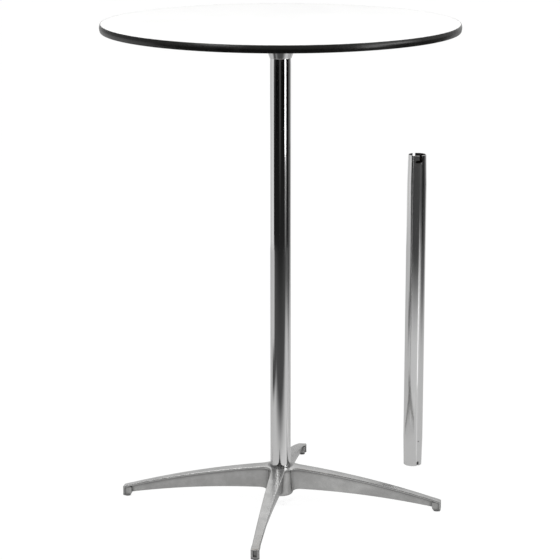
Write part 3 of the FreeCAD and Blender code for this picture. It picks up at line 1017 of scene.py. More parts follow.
# ------------------------------------------------------------------------------ plans
@dataclass(frozen=True)
class ArmPlan:
    """Outline of four tapering arms, seen from above, with rounded corners between them.

    The end gives the distance and the half width of the right arm's last points, outwards.
    """

    root_half: float
    tip_half: float
    tip_at: float
    corner: float
    end: tuple[Pair, ...]
    hub: float = 0.0
    corner_steps: int = 10

    def slope(self) -> float:
        """How fast the half width shrinks outwards."""
        return (self.root_half - self.tip_half) / self.tip_at

    def quarter(self) -> list[Pair]:
        """Works out the corner between the right arm and the back arm.

        Returns:
            Points from the right arm's rear side to the back arm's right side, round the hub if there is one.
        """
        slope = self.slope()
        norm = math.hypot(1.0, slope)
        out = (self.root_half + self.corner * norm) / norm
        side = math.atan2(-1.0, -slope)
        if not self.hub:
            cos, sin = math.cos(EIGHTH_TURN), math.sin(EIGHTH_TURN)
            middle = out * norm / (slope * cos + sin) * cos
            last = -QUARTER_TURN - side - HALF_TURN
            return arc((middle, middle), self.corner, side, last, self.corner_steps * 2)
        along = math.sqrt((self.hub + self.corner) ** 2 - out**2)
        centre = Vector((slope * out + along, out - slope * along)) / norm
        bearing = math.atan2(centre.y, centre.x)
        first = arc(tuple(centre), self.corner, side, bearing - HALF_TURN, self.corner_steps)
        around = arc((0.0, 0.0), self.hub, bearing, QUARTER_TURN - bearing, self.corner_steps)
        return first + around[1:-1] + [(y, x) for x, y in reversed(first)]

    def outline(self) -> list[Pair]:
        """Puts the four arms together.

        Returns:
            The whole outline, anticlockwise.
        """
        side = [(x, -y) for x, y in self.end] + list(reversed(self.end)) + self.quarter()
        points: list[Pair] = []
        for turn in FOUR_QUARTERS:
            cos, sin = round(math.cos(turn)), round(math.sin(turn))
            points += [(x * cos - y * sin, x * sin + y * cos) for x, y in side]
        return points


# ------------------------------------------------------------------------------ base
@dataclass
class BaseCasting:
    """One aluminium casting: a hub with a tapered socket, and four arched legs with feet.

    Each leg is a lip above, a thinner web below it with a hollow underside, and a foot whose end
    is closed by the lip, turned down. Distances are from the axis, along a leg.
    """

    reach: float = 356.0 * MM
    root_height: float = 89.0 * MM
    foot_height: float = 28.5 * MM
    top_bow: float = 6.3 * MM
    hub_radius: float = 28.0 * MM
    hub_bottom: float = 22.8 * MM
    hub_round: float = 6.0 * MM
    hub_steps: int = 96
    hub_proud: float = 0.06 * MM
    hub_clear: float = 200.0 * MM
    lip_lap: float = 0.5 * MM
    web_lap: float = 0.05 * MM
    web_corner_lap: float = 0.1 * MM
    lip: float = 5.0 * MM
    lip_round: float = 1.9 * MM
    lip_corner: float = 32.0 * MM
    fan_steps: int = 24
    fan_reach: float = 6.0 * MM
    root_half: float = 16.2 * MM
    tip_half: float = 8.6 * MM
    tip_at: float = 346.5 * MM
    overhang: float = 4.6 * MM
    draft: float = 3.8 * MM
    web_corner: float = 4.0 * MM
    web_round: float = 1.0 * MM
    web_rows: tuple[float, ...] = (0.0, 0.25, 0.6, 1.0)
    web_into_flange: float = 1.0 * MM
    under_start: float = 44.0 * MM
    under_blend: float = 18.0 * MM
    under_blend_at: float = 24.0 * MM
    under_height: float = 36.8 * MM
    under_end: float = 8.5 * MM
    under_bow: float = 5.8 * MM
    foot_inner: float = 337.0 * MM
    foot_flare: float = 5.0 * MM
    foot_half: float = 9.4 * MM
    foot_floor: float = 1.0 * MM
    foot_round: float = 1.2 * MM
    flange: float = 4.0 * MM
    flange_round: float = 2.0 * MM
    flange_up: float = 0.6 * MM
    heel: float = 8.0 * MM
    core_recess: float = 2.8 * MM
    pocket_half: float = 4.5 * MM
    pocket_low: float = 7.0 * MM
    pocket_high: float = 21.0 * MM
    pocket_depth: float = 5.5 * MM
    pocket_round: float = 1.2 * MM
    wall: float = 2.6 * MM
    crown: float = 7.0 * MM
    hollow_start: float = 34.0 * MM
    hollow_end: float = 196.0 * MM
    hollow_low: float = 14.0 * MM
    hollow_high: float = 40.0 * MM
    socket_low: float = 20.75 * MM
    socket_high: float = 22.117 * MM
    mouth: float = 1.4 * MM
    pin_height: float = 37.4 * MM
    pin_skin: float = 2.0 * MM
    stem_radius: float = 2.55 * MM
    root_rows: tuple[float, ...] = tuple(k * MM for k in (29.0, 30.0, 31.5, 33.5))
    leg_rows: tuple[float, ...] = tuple(
        k * MM for k in (38, 44, 52, 62, 76, 92, *range(110, 291, 20), 308, 324)
    )

    @property
    def flat(self) -> float:
        """Distance of the turned-down flange's inner face."""
        return self.reach - self.flange

    def top_line(self, distance: float) -> float:
        """Height of the legs' upper face.

        Args:
            distance: Distance from the axis.

        Returns:
            The height there.
        """
        if distance <= self.hub_radius:
            return self.root_height
        start, end = (self.hub_radius, self.root_height), (self.foot_inner, self.foot_height)
        return Bow(start, end, self.top_bow).at(distance)

    def under_line(self, distance: float) -> float:
        """Height of the legs' underside, which dips towards the hub in a round.

        Args:
            distance: Distance from the axis.

        Returns:
            The height there.
        """
        if distance <= self.under_start:
            inward = min((self.under_start - distance) / (self.under_start - self.under_blend_at), 1.0)
            return self.under_height - self.under_blend * (1.0 - math.sqrt(1.0 - inward**2))
        if distance >= self.foot_inner:
            return self.under_end
        start, end = (self.under_start, self.under_height), (self.foot_inner, self.under_end)
        return Bow(start, end, self.under_bow).at(distance)

    def half(self, distance: float, inset: float = 0.0) -> float:
        """Half width of a leg at a distance, less an inset."""
        return self.root_half - (self.root_half - self.tip_half) * distance / self.tip_at - inset

    def lip_rise(self, distance: float, height: float) -> float:
        """Lift of the lip's points. Those of the turned-down flange rise together."""
        return self.top_line(distance if height > -2.0 * self.lip else self.flat + self.flange / 2.0)

    def make_lip(self) -> Workpiece:
        """Makes the overhanging upper flange, which turns down at the foot's end.

        Returns:
            The flange, in edit mode, with room for the hub.
        """
        end = (
            (self.foot_inner, self.half(self.foot_inner)),
            (self.foot_inner + self.foot_flare, self.foot_half),
            (self.reach, self.foot_half),
        )
        plan = ArmPlan(self.root_half, self.tip_half, self.tip_at, self.lip_corner, end)
        piece = Workpiece.slab("cast_base", plan.outline(), (-self.lip, 0.0))
        piece.stations((*self.leg_rows, self.flat))
        fan = self.hub_radius + self.fan_reach
        quarter = self.fan_steps // 4
        for step in range(1, 2 * quarter):
            if step != quarter:
                angle = step * FULL_TURN / self.fan_steps
                across = (math.sin(angle), -math.cos(angle), 0.0)
                piece.pick(Element.FACE, lambda middle, normal: middle.xy.length < fan)
                bpy.ops.mesh.bisect(plane_co=(0.0, 0.0, 0.0), plane_no=across)
        piece.pick(Element.FACE, lambda middle, normal: normal.z < -FACING and span(middle) > self.flat)
        down = self.top_line(self.flat + self.flange / 2.0) - self.lip - self.foot_floor - self.flange_up
        bpy.ops.mesh.extrude_region_move(TRANSFORM_OT_translate={"value": (0.0, 0.0, -down)})
        edge = self.reach - WELD
        piece.bevel(
            self.flange_round,
            steps=4,
            test=lambda a, b: min(a.z, b.z) > -WELD and min(span(a), span(b)) > edge,
        )
        piece.bevel(self.lip_round, steps=3)
        piece.combine(self.middle(self.lip_lap), Join.CUT)
        piece.edit()
        piece.lift(self.lip_rise)
        return piece

    def middle(self, lap: float) -> Workpiece:
        """Cutter that leaves room for the hub, less a lap that the hub reaches into what is left."""
        ends = (-self.hub_clear * UP, self.hub_clear * UP)
        return Workpiece.rod("middle", self.hub_radius - lap, *ends, self.hub_steps)

    def web_rise(self, distance: float, height: float) -> float:
        """Lift of the web's points, between the legs' undersides and the middle of the lip.

        Args:
            distance: The point's distance from the axis.
            height: Its height before the lift.

        Returns:
            The lift.
        """
        upper, lower = self.top_line(distance) - self.lip / 2.0, self.under_line(distance)
        kept = min(height, self.web_round)
        share = (height - kept) / (self.root_height - self.lip / 2.0 - self.web_round)
        return lower + kept + (upper - lower - self.web_round) * share - height

    def make_web(self) -> Workpiece:
        """Makes the legs below the lip, down to their arched undersides.

        Returns:
            The web, in edit mode.
        """
        end_at = self.reach - self.flange + self.web_into_flange
        end = ((end_at, self.half(end_at, self.overhang)),)
        root, tip = self.root_half - self.overhang, self.tip_half - self.overhang
        hub = self.hub_radius - self.web_corner_lap
        plan = ArmPlan(root, tip, self.tip_at, self.web_corner, end, hub=hub)
        high = self.root_height - self.lip / 2.0
        levels = [high * share for share in self.web_rows]
        piece = Workpiece.slab("web", plan.outline(), levels)
        piece.stations((*self.root_rows, *self.leg_rows, self.foot_inner))
        self.narrow(piece, levels)
        piece.bevel(self.web_round, steps=3, test=lambda a, b: max(a.z, b.z) < WELD)
        piece.lift(self.web_rise)
        return piece

    def narrow(self, piece: Workpiece, levels: Sequence[float]) -> None:
        """Moves the legs' sides inwards towards the lowest level, by the draft.

        Args:
            piece: The legs, or their hollows, in edit mode.
            levels: Heights of the rows of points; the highest row stays.
        """
        for turn in FOUR_QUARTERS:
            along = Vector((round(math.cos(turn)), round(math.sin(turn)), 0.0))
            across = UP.cross(along)
            for level in levels[:-1]:
                step = self.draft * (levels[-1] - level) / (levels[-1] - levels[0])
                for side in (across, -across):
                    piece.pick(
                        Element.POINT,
                        lambda point: abs(point.z - level) < WELD
                        and WELD < point.dot(side) < point.dot(along) - WELD,
                    )
                    bpy.ops.transform.translate(value=side * -step)

    def make_hub(self) -> Workpiece:
        """Makes the round hub with its rounded lower corner.

        Returns:
            The hub.
        """
        corner = (self.hub_radius - self.hub_round, self.hub_bottom + self.hub_round)
        top = self.root_height + self.hub_proud
        outline = [(0.0, self.hub_bottom)] + arc(corner, self.hub_round, -QUARTER_TURN, 0.0, steps=6)
        outline += [(self.hub_radius, top), (0.0, top)]
        return Workpiece.turned("hub", outline, self.hub_steps, closed=False)

    def make_feet(self) -> Workpiece:
        """Makes the recessed middles of the four feet, with their sloping heels.

        Returns:
            The four, as one workpiece.
        """
        half = self.foot_half - self.core_recess
        low = (self.foot_inner, -half, self.foot_floor)
        top = self.top_line(self.reach) - self.lip / 2.0
        core = Workpiece.block("foot", low, (self.reach - self.flange / 2.0, half, top))
        core.edit()
        inner, floor = self.foot_inner + WELD, self.foot_floor + WELD
        core.bevel(self.heel, steps=6, test=lambda a, b: max(a.x, b.x) < inner and max(a.z, b.z) < floor)
        core.bevel(self.foot_round, steps=3, test=lambda a, b: min(a.z, b.z) < top - WELD)
        return core.ring()

    def hollow_rise(self, distance: float, height: float) -> float:
        """Lift of the hollows' points. Their roofs follow the legs' upper faces."""
        roof = height > (self.hollow_low + self.hollow_high) / 2.0
        return self.top_line(distance) - self.crown - self.hollow_high if roof else 0.0

    def hollows(self) -> Workpiece:
        """Makes the cutter of the hollows under the four legs.

        Returns:
            The cutter.
        """
        start, end, levels = self.hollow_start, self.hollow_end, (self.hollow_low, self.hollow_high)
        inset = self.overhang + self.wall
        corners = [(start, -self.half(start, inset)), (end, -self.half(end, inset))]
        hollow = Workpiece.slab("hollow", corners + [(x, -y) for x, y in reversed(corners)], levels)
        hollow.slice(RIGHT, self.leg_rows)
        self.narrow(hollow, levels)
        hollow.lift(self.hollow_rise)
        return hollow.ring()

    def socket(self) -> Workpiece:
        """Makes the cutter of the tapered socket with its broken rim.

        Returns:
            The cutter.
        """
        above, rim = self.root_height + PAST, self.root_height - self.mouth
        rise = (self.socket_high - self.socket_low) / (self.root_height - SOCKET_FLOOR)
        bore = [
            (0.0, SOCKET_FLOOR),
            (self.socket_low, SOCKET_FLOOR),
            (self.socket_low + rise * (rim - SOCKET_FLOOR), rim),
            (self.socket_high + self.mouth + PAST, above),
            (0.0, above),
        ]
        return Workpiece.turned("socket", bore, self.hub_steps, closed=False)

    def pin_bore(self) -> Workpiece:
        """Makes the cutter of the cross pin's blind hole, between two legs.

        Returns:
            The cutter.
        """
        start = (self.pin_skin - self.hub_radius, 0.0, self.pin_height)
        end = (self.hub_radius + PAST, 0.0, self.pin_height)
        return Workpiece.rod("pin_bore", PIN_BORE, start, end).place(EIGHTH_TURN)

    def stems(self) -> Workpiece:
        """Cutter of the glides' holes."""
        start, end = (GLIDE_REACH, 0.0, -PAST), (GLIDE_REACH, 0.0, self.foot_floor + GLIDE_TOP)
        return Workpiece.rod("stem", self.stem_radius, start, end).ring()

    def pockets(self) -> Workpiece:
        """Makes the cutter of the pockets in the feet's end faces.

        Returns:
            The cutter.
        """
        low = (self.reach - self.pocket_depth, -self.pocket_half, self.pocket_low)
        high = (self.reach + self.flange, self.pocket_half, self.pocket_high)
        pocket = Workpiece.block("pocket", low, high)
        pocket.edit()
        pocket.bevel(self.pocket_round, steps=3)
        return pocket.ring()

    def build(self, finishes: Finishes) -> None:
        """Makes the casting.

        Args:
            finishes: The table's materials.
        """
        piece = self.make_lip()
        web = self.make_web()
        web.combine(self.hollows(), Join.CUT)
        web.combine(self.middle(self.web_lap), Join.CUT)
        hub = self.make_hub()
        hub.combine(self.socket(), Join.CUT)
        hub.combine(self.pin_bore(), Join.CUT)
        feet = self.make_feet()
        feet.combine(self.stems(), Join.CUT)
        for part in (web, hub, feet):
            piece.combine(part, Join.ADD)
        piece.combine(self.pockets(), Join.CUT)
        piece.place(BASE_TURN)
        piece.paint([finishes.casting])
        piece.finish(Body.BASE, "cast_aluminium", "base_casting")


@dataclass
class Glides:
    """Four nylon glides, pressed into the feet."""

    radius: float = 6.5 * MM
    proud: float = 1.0 * MM
    edge: float = 0.5 * MM
    stem_radius: float = 2.5 * MM
    sides: tuple[str, ...] = ("right", "back", "left", "front")

    def build(self, finishes: Finishes) -> None:
        """Makes one glide and copies it.

        Args:
            finishes: The table's materials.
        """
        outline = [
            (0.0, 0.0),
            *arc((self.radius - self.edge, self.edge), self.edge, -QUARTER_TURN, 0.0, steps=4),
            (self.radius, self.proud),
            (self.stem_radius, self.proud),
            (self.stem_radius, GLIDE_TOP - self.edge),
            (self.stem_radius - self.edge, GLIDE_TOP),
            (0.0, GLIDE_TOP),
        ]
        glides = [Workpiece.turned(f"{self.sides[0]}_glide", outline, steps=40, closed=False)]
        glides[0].place(0.0, (GLIDE_REACH, 0.0, 0.0))
        for side, turn in zip(self.sides[1:], FOUR_QUARTERS[1:]):
            glides.append(glides[0].copy(f"{side}_glide").place(turn))
        for glide, side in zip(glides, self.sides):
            glide.place(BASE_TURN)
            glide.paint([finishes.nylon])
            glide.finish(Body.BASE, "glide_nylon", f"glide_{side}")


# ------------------------------------------------------------------------------ columns
@dataclass
class Column:
    """Chromed tube with swaged ends, bayonet slots above and locating notches below.

    The rows are distances from the tube's nearer end, in millimetres.
    """

    name: str
    node: str
    body: Body
    length: float
    turn: float
    foot: Triple
    radius: float = 22.225 * MM
    end_radius: float = 20.65 * MM
    wall: float = 1.6 * MM
    taper: float = 68.0 * MM
    edge: float = 0.45 * MM
    edge_trim: float = 0.1
    throat: float = 20.0 * MM
    throat_flare: float = 0.4 * MM
    steps: int = 128
    slot_half: float = 3.3 * MM
    slot_lap: float = 0.04 * MM
    slot_depth: float = 14.2 * MM
    slot_twist: float = math.radians(24.0)
    slot_past: float = 3.0 * MM
    branch_inner: float = 0.6
    notch_height: float = 7.4 * MM
    stagger: float = math.radians(13.0)
    dent_height: float = 62.0 * MM
    dent_radius: float = 4.2 * MM
    dent_depth: float = 0.9 * MM
    end_rows: tuple[float, ...] = (2.0, 4.5, 7.0, 9.5, 12.5, 16.0, 20.0, 28.0, 40.0, 52.0)
    dent_rows: tuple[float, ...] = tuple(57.5 + k * 0.75 for k in range(13))
    shoulder_rows: tuple[float, ...] = (68.0, 70.0, 74.0, 90.0)

    @property
    def clear(self) -> float:
        """Half length of a cutter that goes through both walls."""
        return 2.0 * self.radius

    def outer(self, from_end: float) -> float:
        """Outer radius at a distance from the nearer end."""
        return self.end_radius + (self.radius - self.end_radius) * min(from_end, self.taper) / self.taper

    def profile(self) -> list[Pair]:
        """Draws the wall.

        Returns:
            Radii and heights, up the outside and down the inside.
        """
        rows = [row * MM for row in self.end_rows + self.dent_rows + self.shoulder_rows]
        upper = [self.length - row for row in reversed(rows)]
        rim = self.end_radius - self.edge
        bottom = arc((rim, self.edge), self.edge, -QUARTER_TURN, -self.edge_trim, steps=3)
        top = arc((rim, self.length - self.edge), self.edge, self.edge_trim, QUARTER_TURN, steps=3)
        outside = [(self.outer(z), z) for z in rows] + [(self.outer(self.length - z), z) for z in upper]
        end, middle = self.end_radius - self.wall, self.radius - self.wall
        bore = [
            (end, self.length),
            (end + self.throat_flare, self.length - self.throat),
            (middle, self.length - self.taper),
            (middle, self.taper),
            (end + self.throat_flare, self.throat),
            (end, 0.0),
        ]
        return bottom + outside + top + bore

    def drill(self, name: str, height: float) -> Workpiece:
        """Cutter of a round hole through both walls."""
        ends = ((-self.clear, 0.0, height), (self.clear, 0.0, height))
        return Workpiece.rod(name, self.slot_half, *ends, steps=40)

    def slot(self, bearing: float, height: float, end: float) -> Workpiece:
        """Makes the cutter of a slot through both walls, open towards an end.

        Args:
            bearing: Angle of the slot round the tube.
            height: Height of its round bottom's centre.
            end: Height beyond the tube's end.

        Returns:
            The cutter.
        """
        low, high = sorted((height, end))
        reach, side = self.clear - PAST, self.slot_half - self.slot_lap
        piece = self.drill("slot", height)
        piece.combine(Workpiece.block("slot_block", (-reach, -side, low), (reach, side, high)), Join.ADD)
        return piece.place(bearing)

    def bayonet(self) -> Workpiece:
        """Makes the cutter of the two upper slots with their clockwise branches.

        Returns:
            The cutter.
        """
        height = self.length - self.slot_depth
        piece = self.slot(0.0, height, self.length + self.slot_past)
        piece.combine(self.drill("branch_end", height).place(-self.slot_twist), Join.ADD)
        near, far = self.branch_inner * self.radius, self.clear - 2.0 * PAST
        side = self.slot_half - self.slot_lap
        box = [(near, height - side), (far, height - side), (far, height + side), (near, height + side)]
        for bearing in (0.0, HALF_TURN):
            sweep = Workpiece.turned("branch", box, steps=12, angle=self.slot_twist)
            piece.combine(sweep.centred_on(bearing - self.slot_twist / 2.0), Join.ADD)
        return piece

    def press_dent(self, piece: Workpiece) -> None:
        """Pushes in the locating mark above the lower notch.

        Args:
            piece: The tube, in edit mode.
        """
        outwards = Vector((math.cos(self.stagger), math.sin(self.stagger), 0.0))
        centre = outwards * self.outer(self.dent_height) + UP * self.dent_height
        groups: dict[int, list[int]] = {}
        for point in bmesh.from_edit_mesh(piece.obj.data).verts:
            away = (point.co - centre).length
            if away < self.dent_radius and point.co.xy.length > self.end_radius:
                depth = self.dent_depth * (0.5 + 0.5 * math.cos(HALF_TURN * away / self.dent_radius))
                groups.setdefault(round(depth / WELD), []).append(point.index)
        for grains, members in groups.items():
            piece.shift(members, outwards * -WELD * grains)

    @staticmethod
    def in_bore(middle: Vector, normal: Vector) -> bool:
        """Whether a face looks towards the tube's axis."""
        return middle.xy.dot(normal.xy) < -FACING * middle.xy.length

    def build(self, finishes: Finishes) -> None:
        """Makes the tube.

        Args:
            finishes: The table's materials.
        """
        piece = Workpiece.turned(self.name, self.profile(), self.steps)
        self.press_dent(piece)
        for cutter in (self.bayonet(), self.slot(self.stagger, self.notch_height, -self.slot_past)):
            piece.combine(cutter, Join.CUT)
        plating = finishes.dull_chrome if self.body is Body.SPARE else finishes.chrome
        piece.paint([plating, finishes.steel], self.in_bore)
        piece.place(self.turn, self.foot)
        piece.finish(self.body, "chrome", self.node)


# ------------------------------------------------------------------------------ tabletop
@dataclass
class Tabletop:
    """White laminate and its black moulded edge."""

    radius: float = 381.0 * MM
    core_radius: float = 378.8 * MM
    gap: float = 0.1 * MM
    crown: float = 1.2 * MM
    crown_steps: int = 4
    edge: float = 1.5 * MM
    edge_trim: float = 0.08
    tongue: float = 371.0 * MM
    tongue_half: float = 1.15 * MM
    laminate: float = 0.8 * MM
    laminate_edge: float = 0.15 * MM
    laminate_rings: tuple[float, ...] = (0.97, 0.75, 0.5, 0.25)
    steps: int = 320

    def band_outline(self) -> list[Pair]:
        """Draws the edge band, slightly crowned, with its tongue.

        Returns:
            Radii and heights, up the outside and down the inside.
        """
        centre, inner = (BOARD_UNDERSIDE + TABLE_HEIGHT) / 2.0, self.core_radius + self.gap
        half = (TABLE_HEIGHT - BOARD_UNDERSIDE) / 2.0 - self.edge
        corner = self.radius - self.crown - self.edge
        shares = [k / self.crown_steps for k in range(1 - self.crown_steps, self.crown_steps)]
        low, high = (corner, BOARD_UNDERSIDE + self.edge), (corner, TABLE_HEIGHT - self.edge)
        return [
            *arc(low, self.edge, -QUARTER_TURN, -self.edge_trim, steps=5),
            *((self.radius - self.crown * share**2, centre + half * share) for share in shares),
            *arc(high, self.edge, self.edge_trim, QUARTER_TURN, steps=5),
            (inner, TABLE_HEIGHT),
            (inner, centre + self.tongue_half),
            (self.tongue, centre + self.tongue_half),
            (self.tongue, centre - self.tongue_half),
            (inner, centre - self.tongue_half),
            (inner, BOARD_UNDERSIDE),
        ]

    def laminate_outline(self) -> list[Pair]:
        """Draws the sheet on the board, with a broken upper edge.

        Returns:
            Radii and heights, from the axis outwards and back.
        """
        low, edge = TABLE_HEIGHT - self.laminate, self.laminate_edge
        return [
            (0.0, low),
            (self.core_radius, low),
            *arc((self.core_radius - edge, TABLE_HEIGHT - edge), edge, 0.0, QUARTER_TURN, steps=3),
            *((self.core_radius * share, TABLE_HEIGHT) for share in self.laminate_rings),
            (0.0, TABLE_HEIGHT),
        ]

    def build(self, finishes: Finishes) -> None:
        """Makes both pieces.

        Args:
            finishes: The table's materials.
        """
        band = Workpiece.turned("edge_moulding", self.band_outline(), self.steps)
        band.paint([finishes.moulding])
        band.finish(Body.TABLETOP, "edge_band", "edge_band")
        sheet = Workpiece.turned("white_sheet", self.laminate_outline(), self.steps, closed=False)
        sheet.paint([finishes.laminate])
        sheet.finish(Body.TABLETOP, "laminate", "top_laminate")


@dataclass
class Spider:
    """Cast four-arm spider with the upper socket, the collar round it, and their screws."""

    plate: float = 8.0 * MM
    disc: float = 56.0 * MM
    root_half: float = 15.0 * MM
    tip_half: float = 11.0 * MM
    tip_at: float = 139.0 * MM
    corner: float = 9.0 * MM
    tip_rise: float = 3.0 * MM
    slope_end: float = 127.0 * MM
    arm_rows: tuple[float, ...] = tuple(k * MM for k in (58, 66, 80, 95, 110, 127, 139))
    edge: float = 0.9 * MM
    boss_radius: float = 27.225 * MM
    boss_low: float = 997.0 * MM
    boss_seat: float = 23.72 * MM
    boss_shoulder: float = 1006.6 * MM
    boss_steps: int = 96
    socket_roof: float = 1046.0 * MM
    socket_high: float = 20.75 * MM
    socket_low: float = 21.908 * MM
    pin_height: float = 1031.8 * MM
    pin_turn: float = math.radians(-0.54)
    hole: float = 2.6 * MM
    hole_past: float = 5.0 * MM
    collar_low: float = 992.0 * MM
    collar_lip: float = 22.20 * MM
    collar_flare: float = math.tan(math.radians(20.0))
    collar_rows: tuple[float, ...] = tuple(k * MM for k in (2.5, 5.0, 10.0, 20.0, 35.0, 46.0))
    collar_steps: int = 128
    sheet: float = 1.0 * MM
    bead: float = 0.75 * MM
    bead_end: float = 0.45
    bend_outside: tuple[Pair, ...] = ((0.1 * MM, 2.6 * MM), (1.0 * MM, 1.3 * MM), (2.6 * MM, 1.0 * MM))
    bend_inside: float = 1.2 * MM
    bend_drop: float = 1.5 * MM
    flange: float = 53.76 * MM
    flange_break: float = 0.3 * MM
    collar_circle: float = 47.79 * MM
    arm_circle: float = 138.0 * MM
    shank: float = 2.4 * MM
    head: float = 4.75 * MM
    head_height: float = 3.2 * MM
    head_round: float = 2.0 * MM
    drive: float = 1.4 * MM
    drive_reach: float = 0.55
    drive_turn: float = 0.3
    screw_top: float = 1062.0 * MM
    screw_point: float = 3.0 * MM
    screw_tip: float = 0.5 * MM

    @property
    def underside(self) -> float:
        """Height of the plate's lower face."""
        return BOARD_UNDERSIDE - self.plate

    def holes(self, circle: float) -> Workpiece:
        """Cutter of four holes on a circle."""
        ends = ((circle, 0.0, self.collar_low), (circle, 0.0, BOARD_UNDERSIDE + self.hole_past))
        return Workpiece.rod("holes", self.hole, *ends, steps=24).ring()

    def arm_rise(self, distance: float, height: float) -> float:
        """Lift of the plate's points. The arms get thinner outwards, from below."""
        share = min(max((distance - self.disc) / (self.slope_end - self.disc), 0.0), 1.0)
        return self.tip_rise * share if height < BOARD_UNDERSIDE - self.plate / 2.0 else 0.0

    def make_plate(self) -> Workpiece:
        """Makes the disc with its four arms.

        Returns:
            The plate, in edit mode.
        """
        tip = arc((self.tip_at, 0.0), self.tip_half, QUARTER_TURN, 0.0, steps=10)
        plan = ArmPlan(self.root_half, self.tip_half, self.tip_at, self.corner, tuple(tip), hub=self.disc)
        piece = Workpiece.slab("spider_casting", plan.outline(), (self.underside, BOARD_UNDERSIDE))
        piece.stations(self.arm_rows)
        piece.bevel(self.edge, steps=3)
        piece.lift(self.arm_rise)
        return piece

    def make_boss(self) -> Workpiece:
        """Makes the boss round the socket, with the cross pin's hole.

        Returns:
            The boss.
        """
        middle = BOARD_UNDERSIDE - self.plate / 2.0
        outline = [
            (0.0, self.boss_low),
            (self.boss_seat - self.edge, self.boss_low),
            (self.boss_seat, self.boss_low + self.edge),
            (self.boss_radius, self.boss_shoulder),
            (self.boss_radius, middle),
            (0.0, middle),
        ]
        boss = Workpiece.turned("boss", outline, self.boss_steps, closed=False)
        reach = self.boss_radius + PAST
        ends = ((-reach, 0.0, self.pin_height), (reach, 0.0, self.pin_height))
        boss.combine(Workpiece.rod("pin_bore", PIN_BORE, *ends).place(self.pin_turn), Join.CUT)
        return boss

    def socket(self) -> Workpiece:
        """Makes the cutter of the tapered socket.

        Returns:
            The cutter.
        """
        low, roof = self.boss_low - PAST, self.socket_roof
        bore = [(0.0, low), (self.socket_low, low), (self.socket_high, roof), (0.0, roof)]
        return Workpiece.turned("socket", bore, self.boss_steps, closed=False)

    def build_casting(self, finishes: Finishes) -> None:
        """Makes the spider.

        Args:
            finishes: The table's materials.
        """
        piece = self.make_plate()
        piece.combine(self.make_boss(), Join.ADD)
        piece.combine(self.socket(), Join.CUT)
        for circle in (self.collar_circle, self.arm_circle):
            piece.combine(self.holes(circle), Join.CUT)
        piece.paint([finishes.casting])
        piece.finish(Body.TABLETOP, "cast_aluminium", "top_spider")

    def collar_inner(self, height: float) -> float:
        """The collar's inner radius at a height."""
        return self.collar_lip + (height - self.collar_low) * self.collar_flare

    def collar_outline(self) -> list[Pair]:
        """Draws the collar's sheet, from its beaded lip to its flange.

        Returns:
            Radii and heights, up the outside and down the inside.
        """
        low, high = self.collar_low, self.underside
        bead = (self.collar_lip + self.bead, low + self.bead)
        side = self.sheet * math.hypot(1.0, self.collar_flare)
        rows = [low + row for row in self.collar_rows]
        bend = self.collar_inner(high) + side
        return [
            *arc(bead, self.bead, -HALF_TURN, self.bead_end, steps=9),
            *((self.collar_inner(row) + side, row) for row in rows),
            *((bend + out, high - down) for out, down in self.bend_outside),
            (self.flange - self.flange_break, high - self.sheet),
            (self.flange, high - self.sheet / 2.0),
            (self.flange - self.flange_break, high),
            (self.collar_inner(high) + self.bend_inside, high),
            (self.collar_inner(high - self.bend_drop), high - self.bend_drop),
            *((self.collar_inner(row), row) for row in reversed(rows)),
        ]

    def build_collar(self, finishes: Finishes) -> None:
        """Makes the spun collar.

        Args:
            finishes: The table's materials.
        """
        piece = Workpiece.turned("spun_collar", self.collar_outline(), self.collar_steps)
        piece.combine(self.holes(self.collar_circle), Join.CUT)
        piece.paint([finishes.chrome])
        piece.finish(Body.TABLETOP, "chrome", "flared_collar")

    def make_screw(self, name: str, seat: float) -> Workpiece:
        """Makes a pan-head screw with a cross recess, on the Z axis.

        Args:
            name: What the screw is called.
            seat: Height of the face that the head bears on.

        Returns:
            The screw.
        """
        low = seat - self.head_height
        corner = (self.head - self.head_round, low + self.head_round)
        outline = [
            (0.0, low),
            *arc(corner, self.head_round, -QUARTER_TURN, 0.0, steps=6),
            (self.head, seat),
            (self.shank, seat),
            (self.shank, self.screw_top - self.screw_point),
            (self.screw_tip, self.screw_top),
            (0.0, self.screw_top),
        ]
        screw = Workpiece.turned(name, outline, steps=32, closed=False)
        long, wide = self.drive_reach * self.head, self.drive / 2.0
        for reach_x, reach_y in ((long, wide), (wide, long)):
            box = ((-reach_x, -reach_y, low - PAST), (reach_x, reach_y, low + self.drive))
            screw.combine(Workpiece.block("drive", *box), Join.CUT)
        return screw

    def build_screws(self, finishes: Finishes, name: str, circle: float, seat: float) -> None:
        """Makes one screw, and copies it round a circle.

        Args:
            finishes: The table's materials.
            name: What each screw is called.
            circle: Radius of the circle.
            seat: Height of the face that the heads bear on.
        """
        screw = self.make_screw(name, seat).place(self.drive_turn, (circle, 0.0, 0.0))
        turned = [screw.copy(f"{name}_{number}").place(turn) for number, turn in enumerate(FOUR_QUARTERS)]
        bpy.data.objects.remove(screw.obj)
        for piece in turned:
            piece.paint([finishes.zinc])
            piece.finish(Body.TABLETOP, "zinc_screw", f"{name}s")

    def build(self, finishes: Finishes) -> None:
        """Makes the casting, the collar and the eight screws.

        Args:
            finishes: The table's materials.
        """
        self.build_casting(finishes)
        self.build_collar(finishes)
        self.build_screws(finishes, "arm_screw", self.arm_circle, self.underside + self.tip_rise)
        self.build_screws(finishes, "collar_screw", self.collar_circle, self.underside - self.sheet)


class KeptSolids:
    """Solids that are shown as they come, with better materials."""

    def build(self, finishes: Finishes) -> None:
        """Gives each one its material.

        Args:
            finishes: The table's materials.
        """
        dressed = {
            "core_board": finishes.board,
            "backing_sheet": finishes.backing,
            "top_lock_pin": finishes.zinc,
            "base_lock_pin": finishes.zinc,
        }
        for node, material in dressed.items():
            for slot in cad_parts[node].material_slots:
                slot.material = material
            LOG.info("%s: kept, %s", node, material.name)


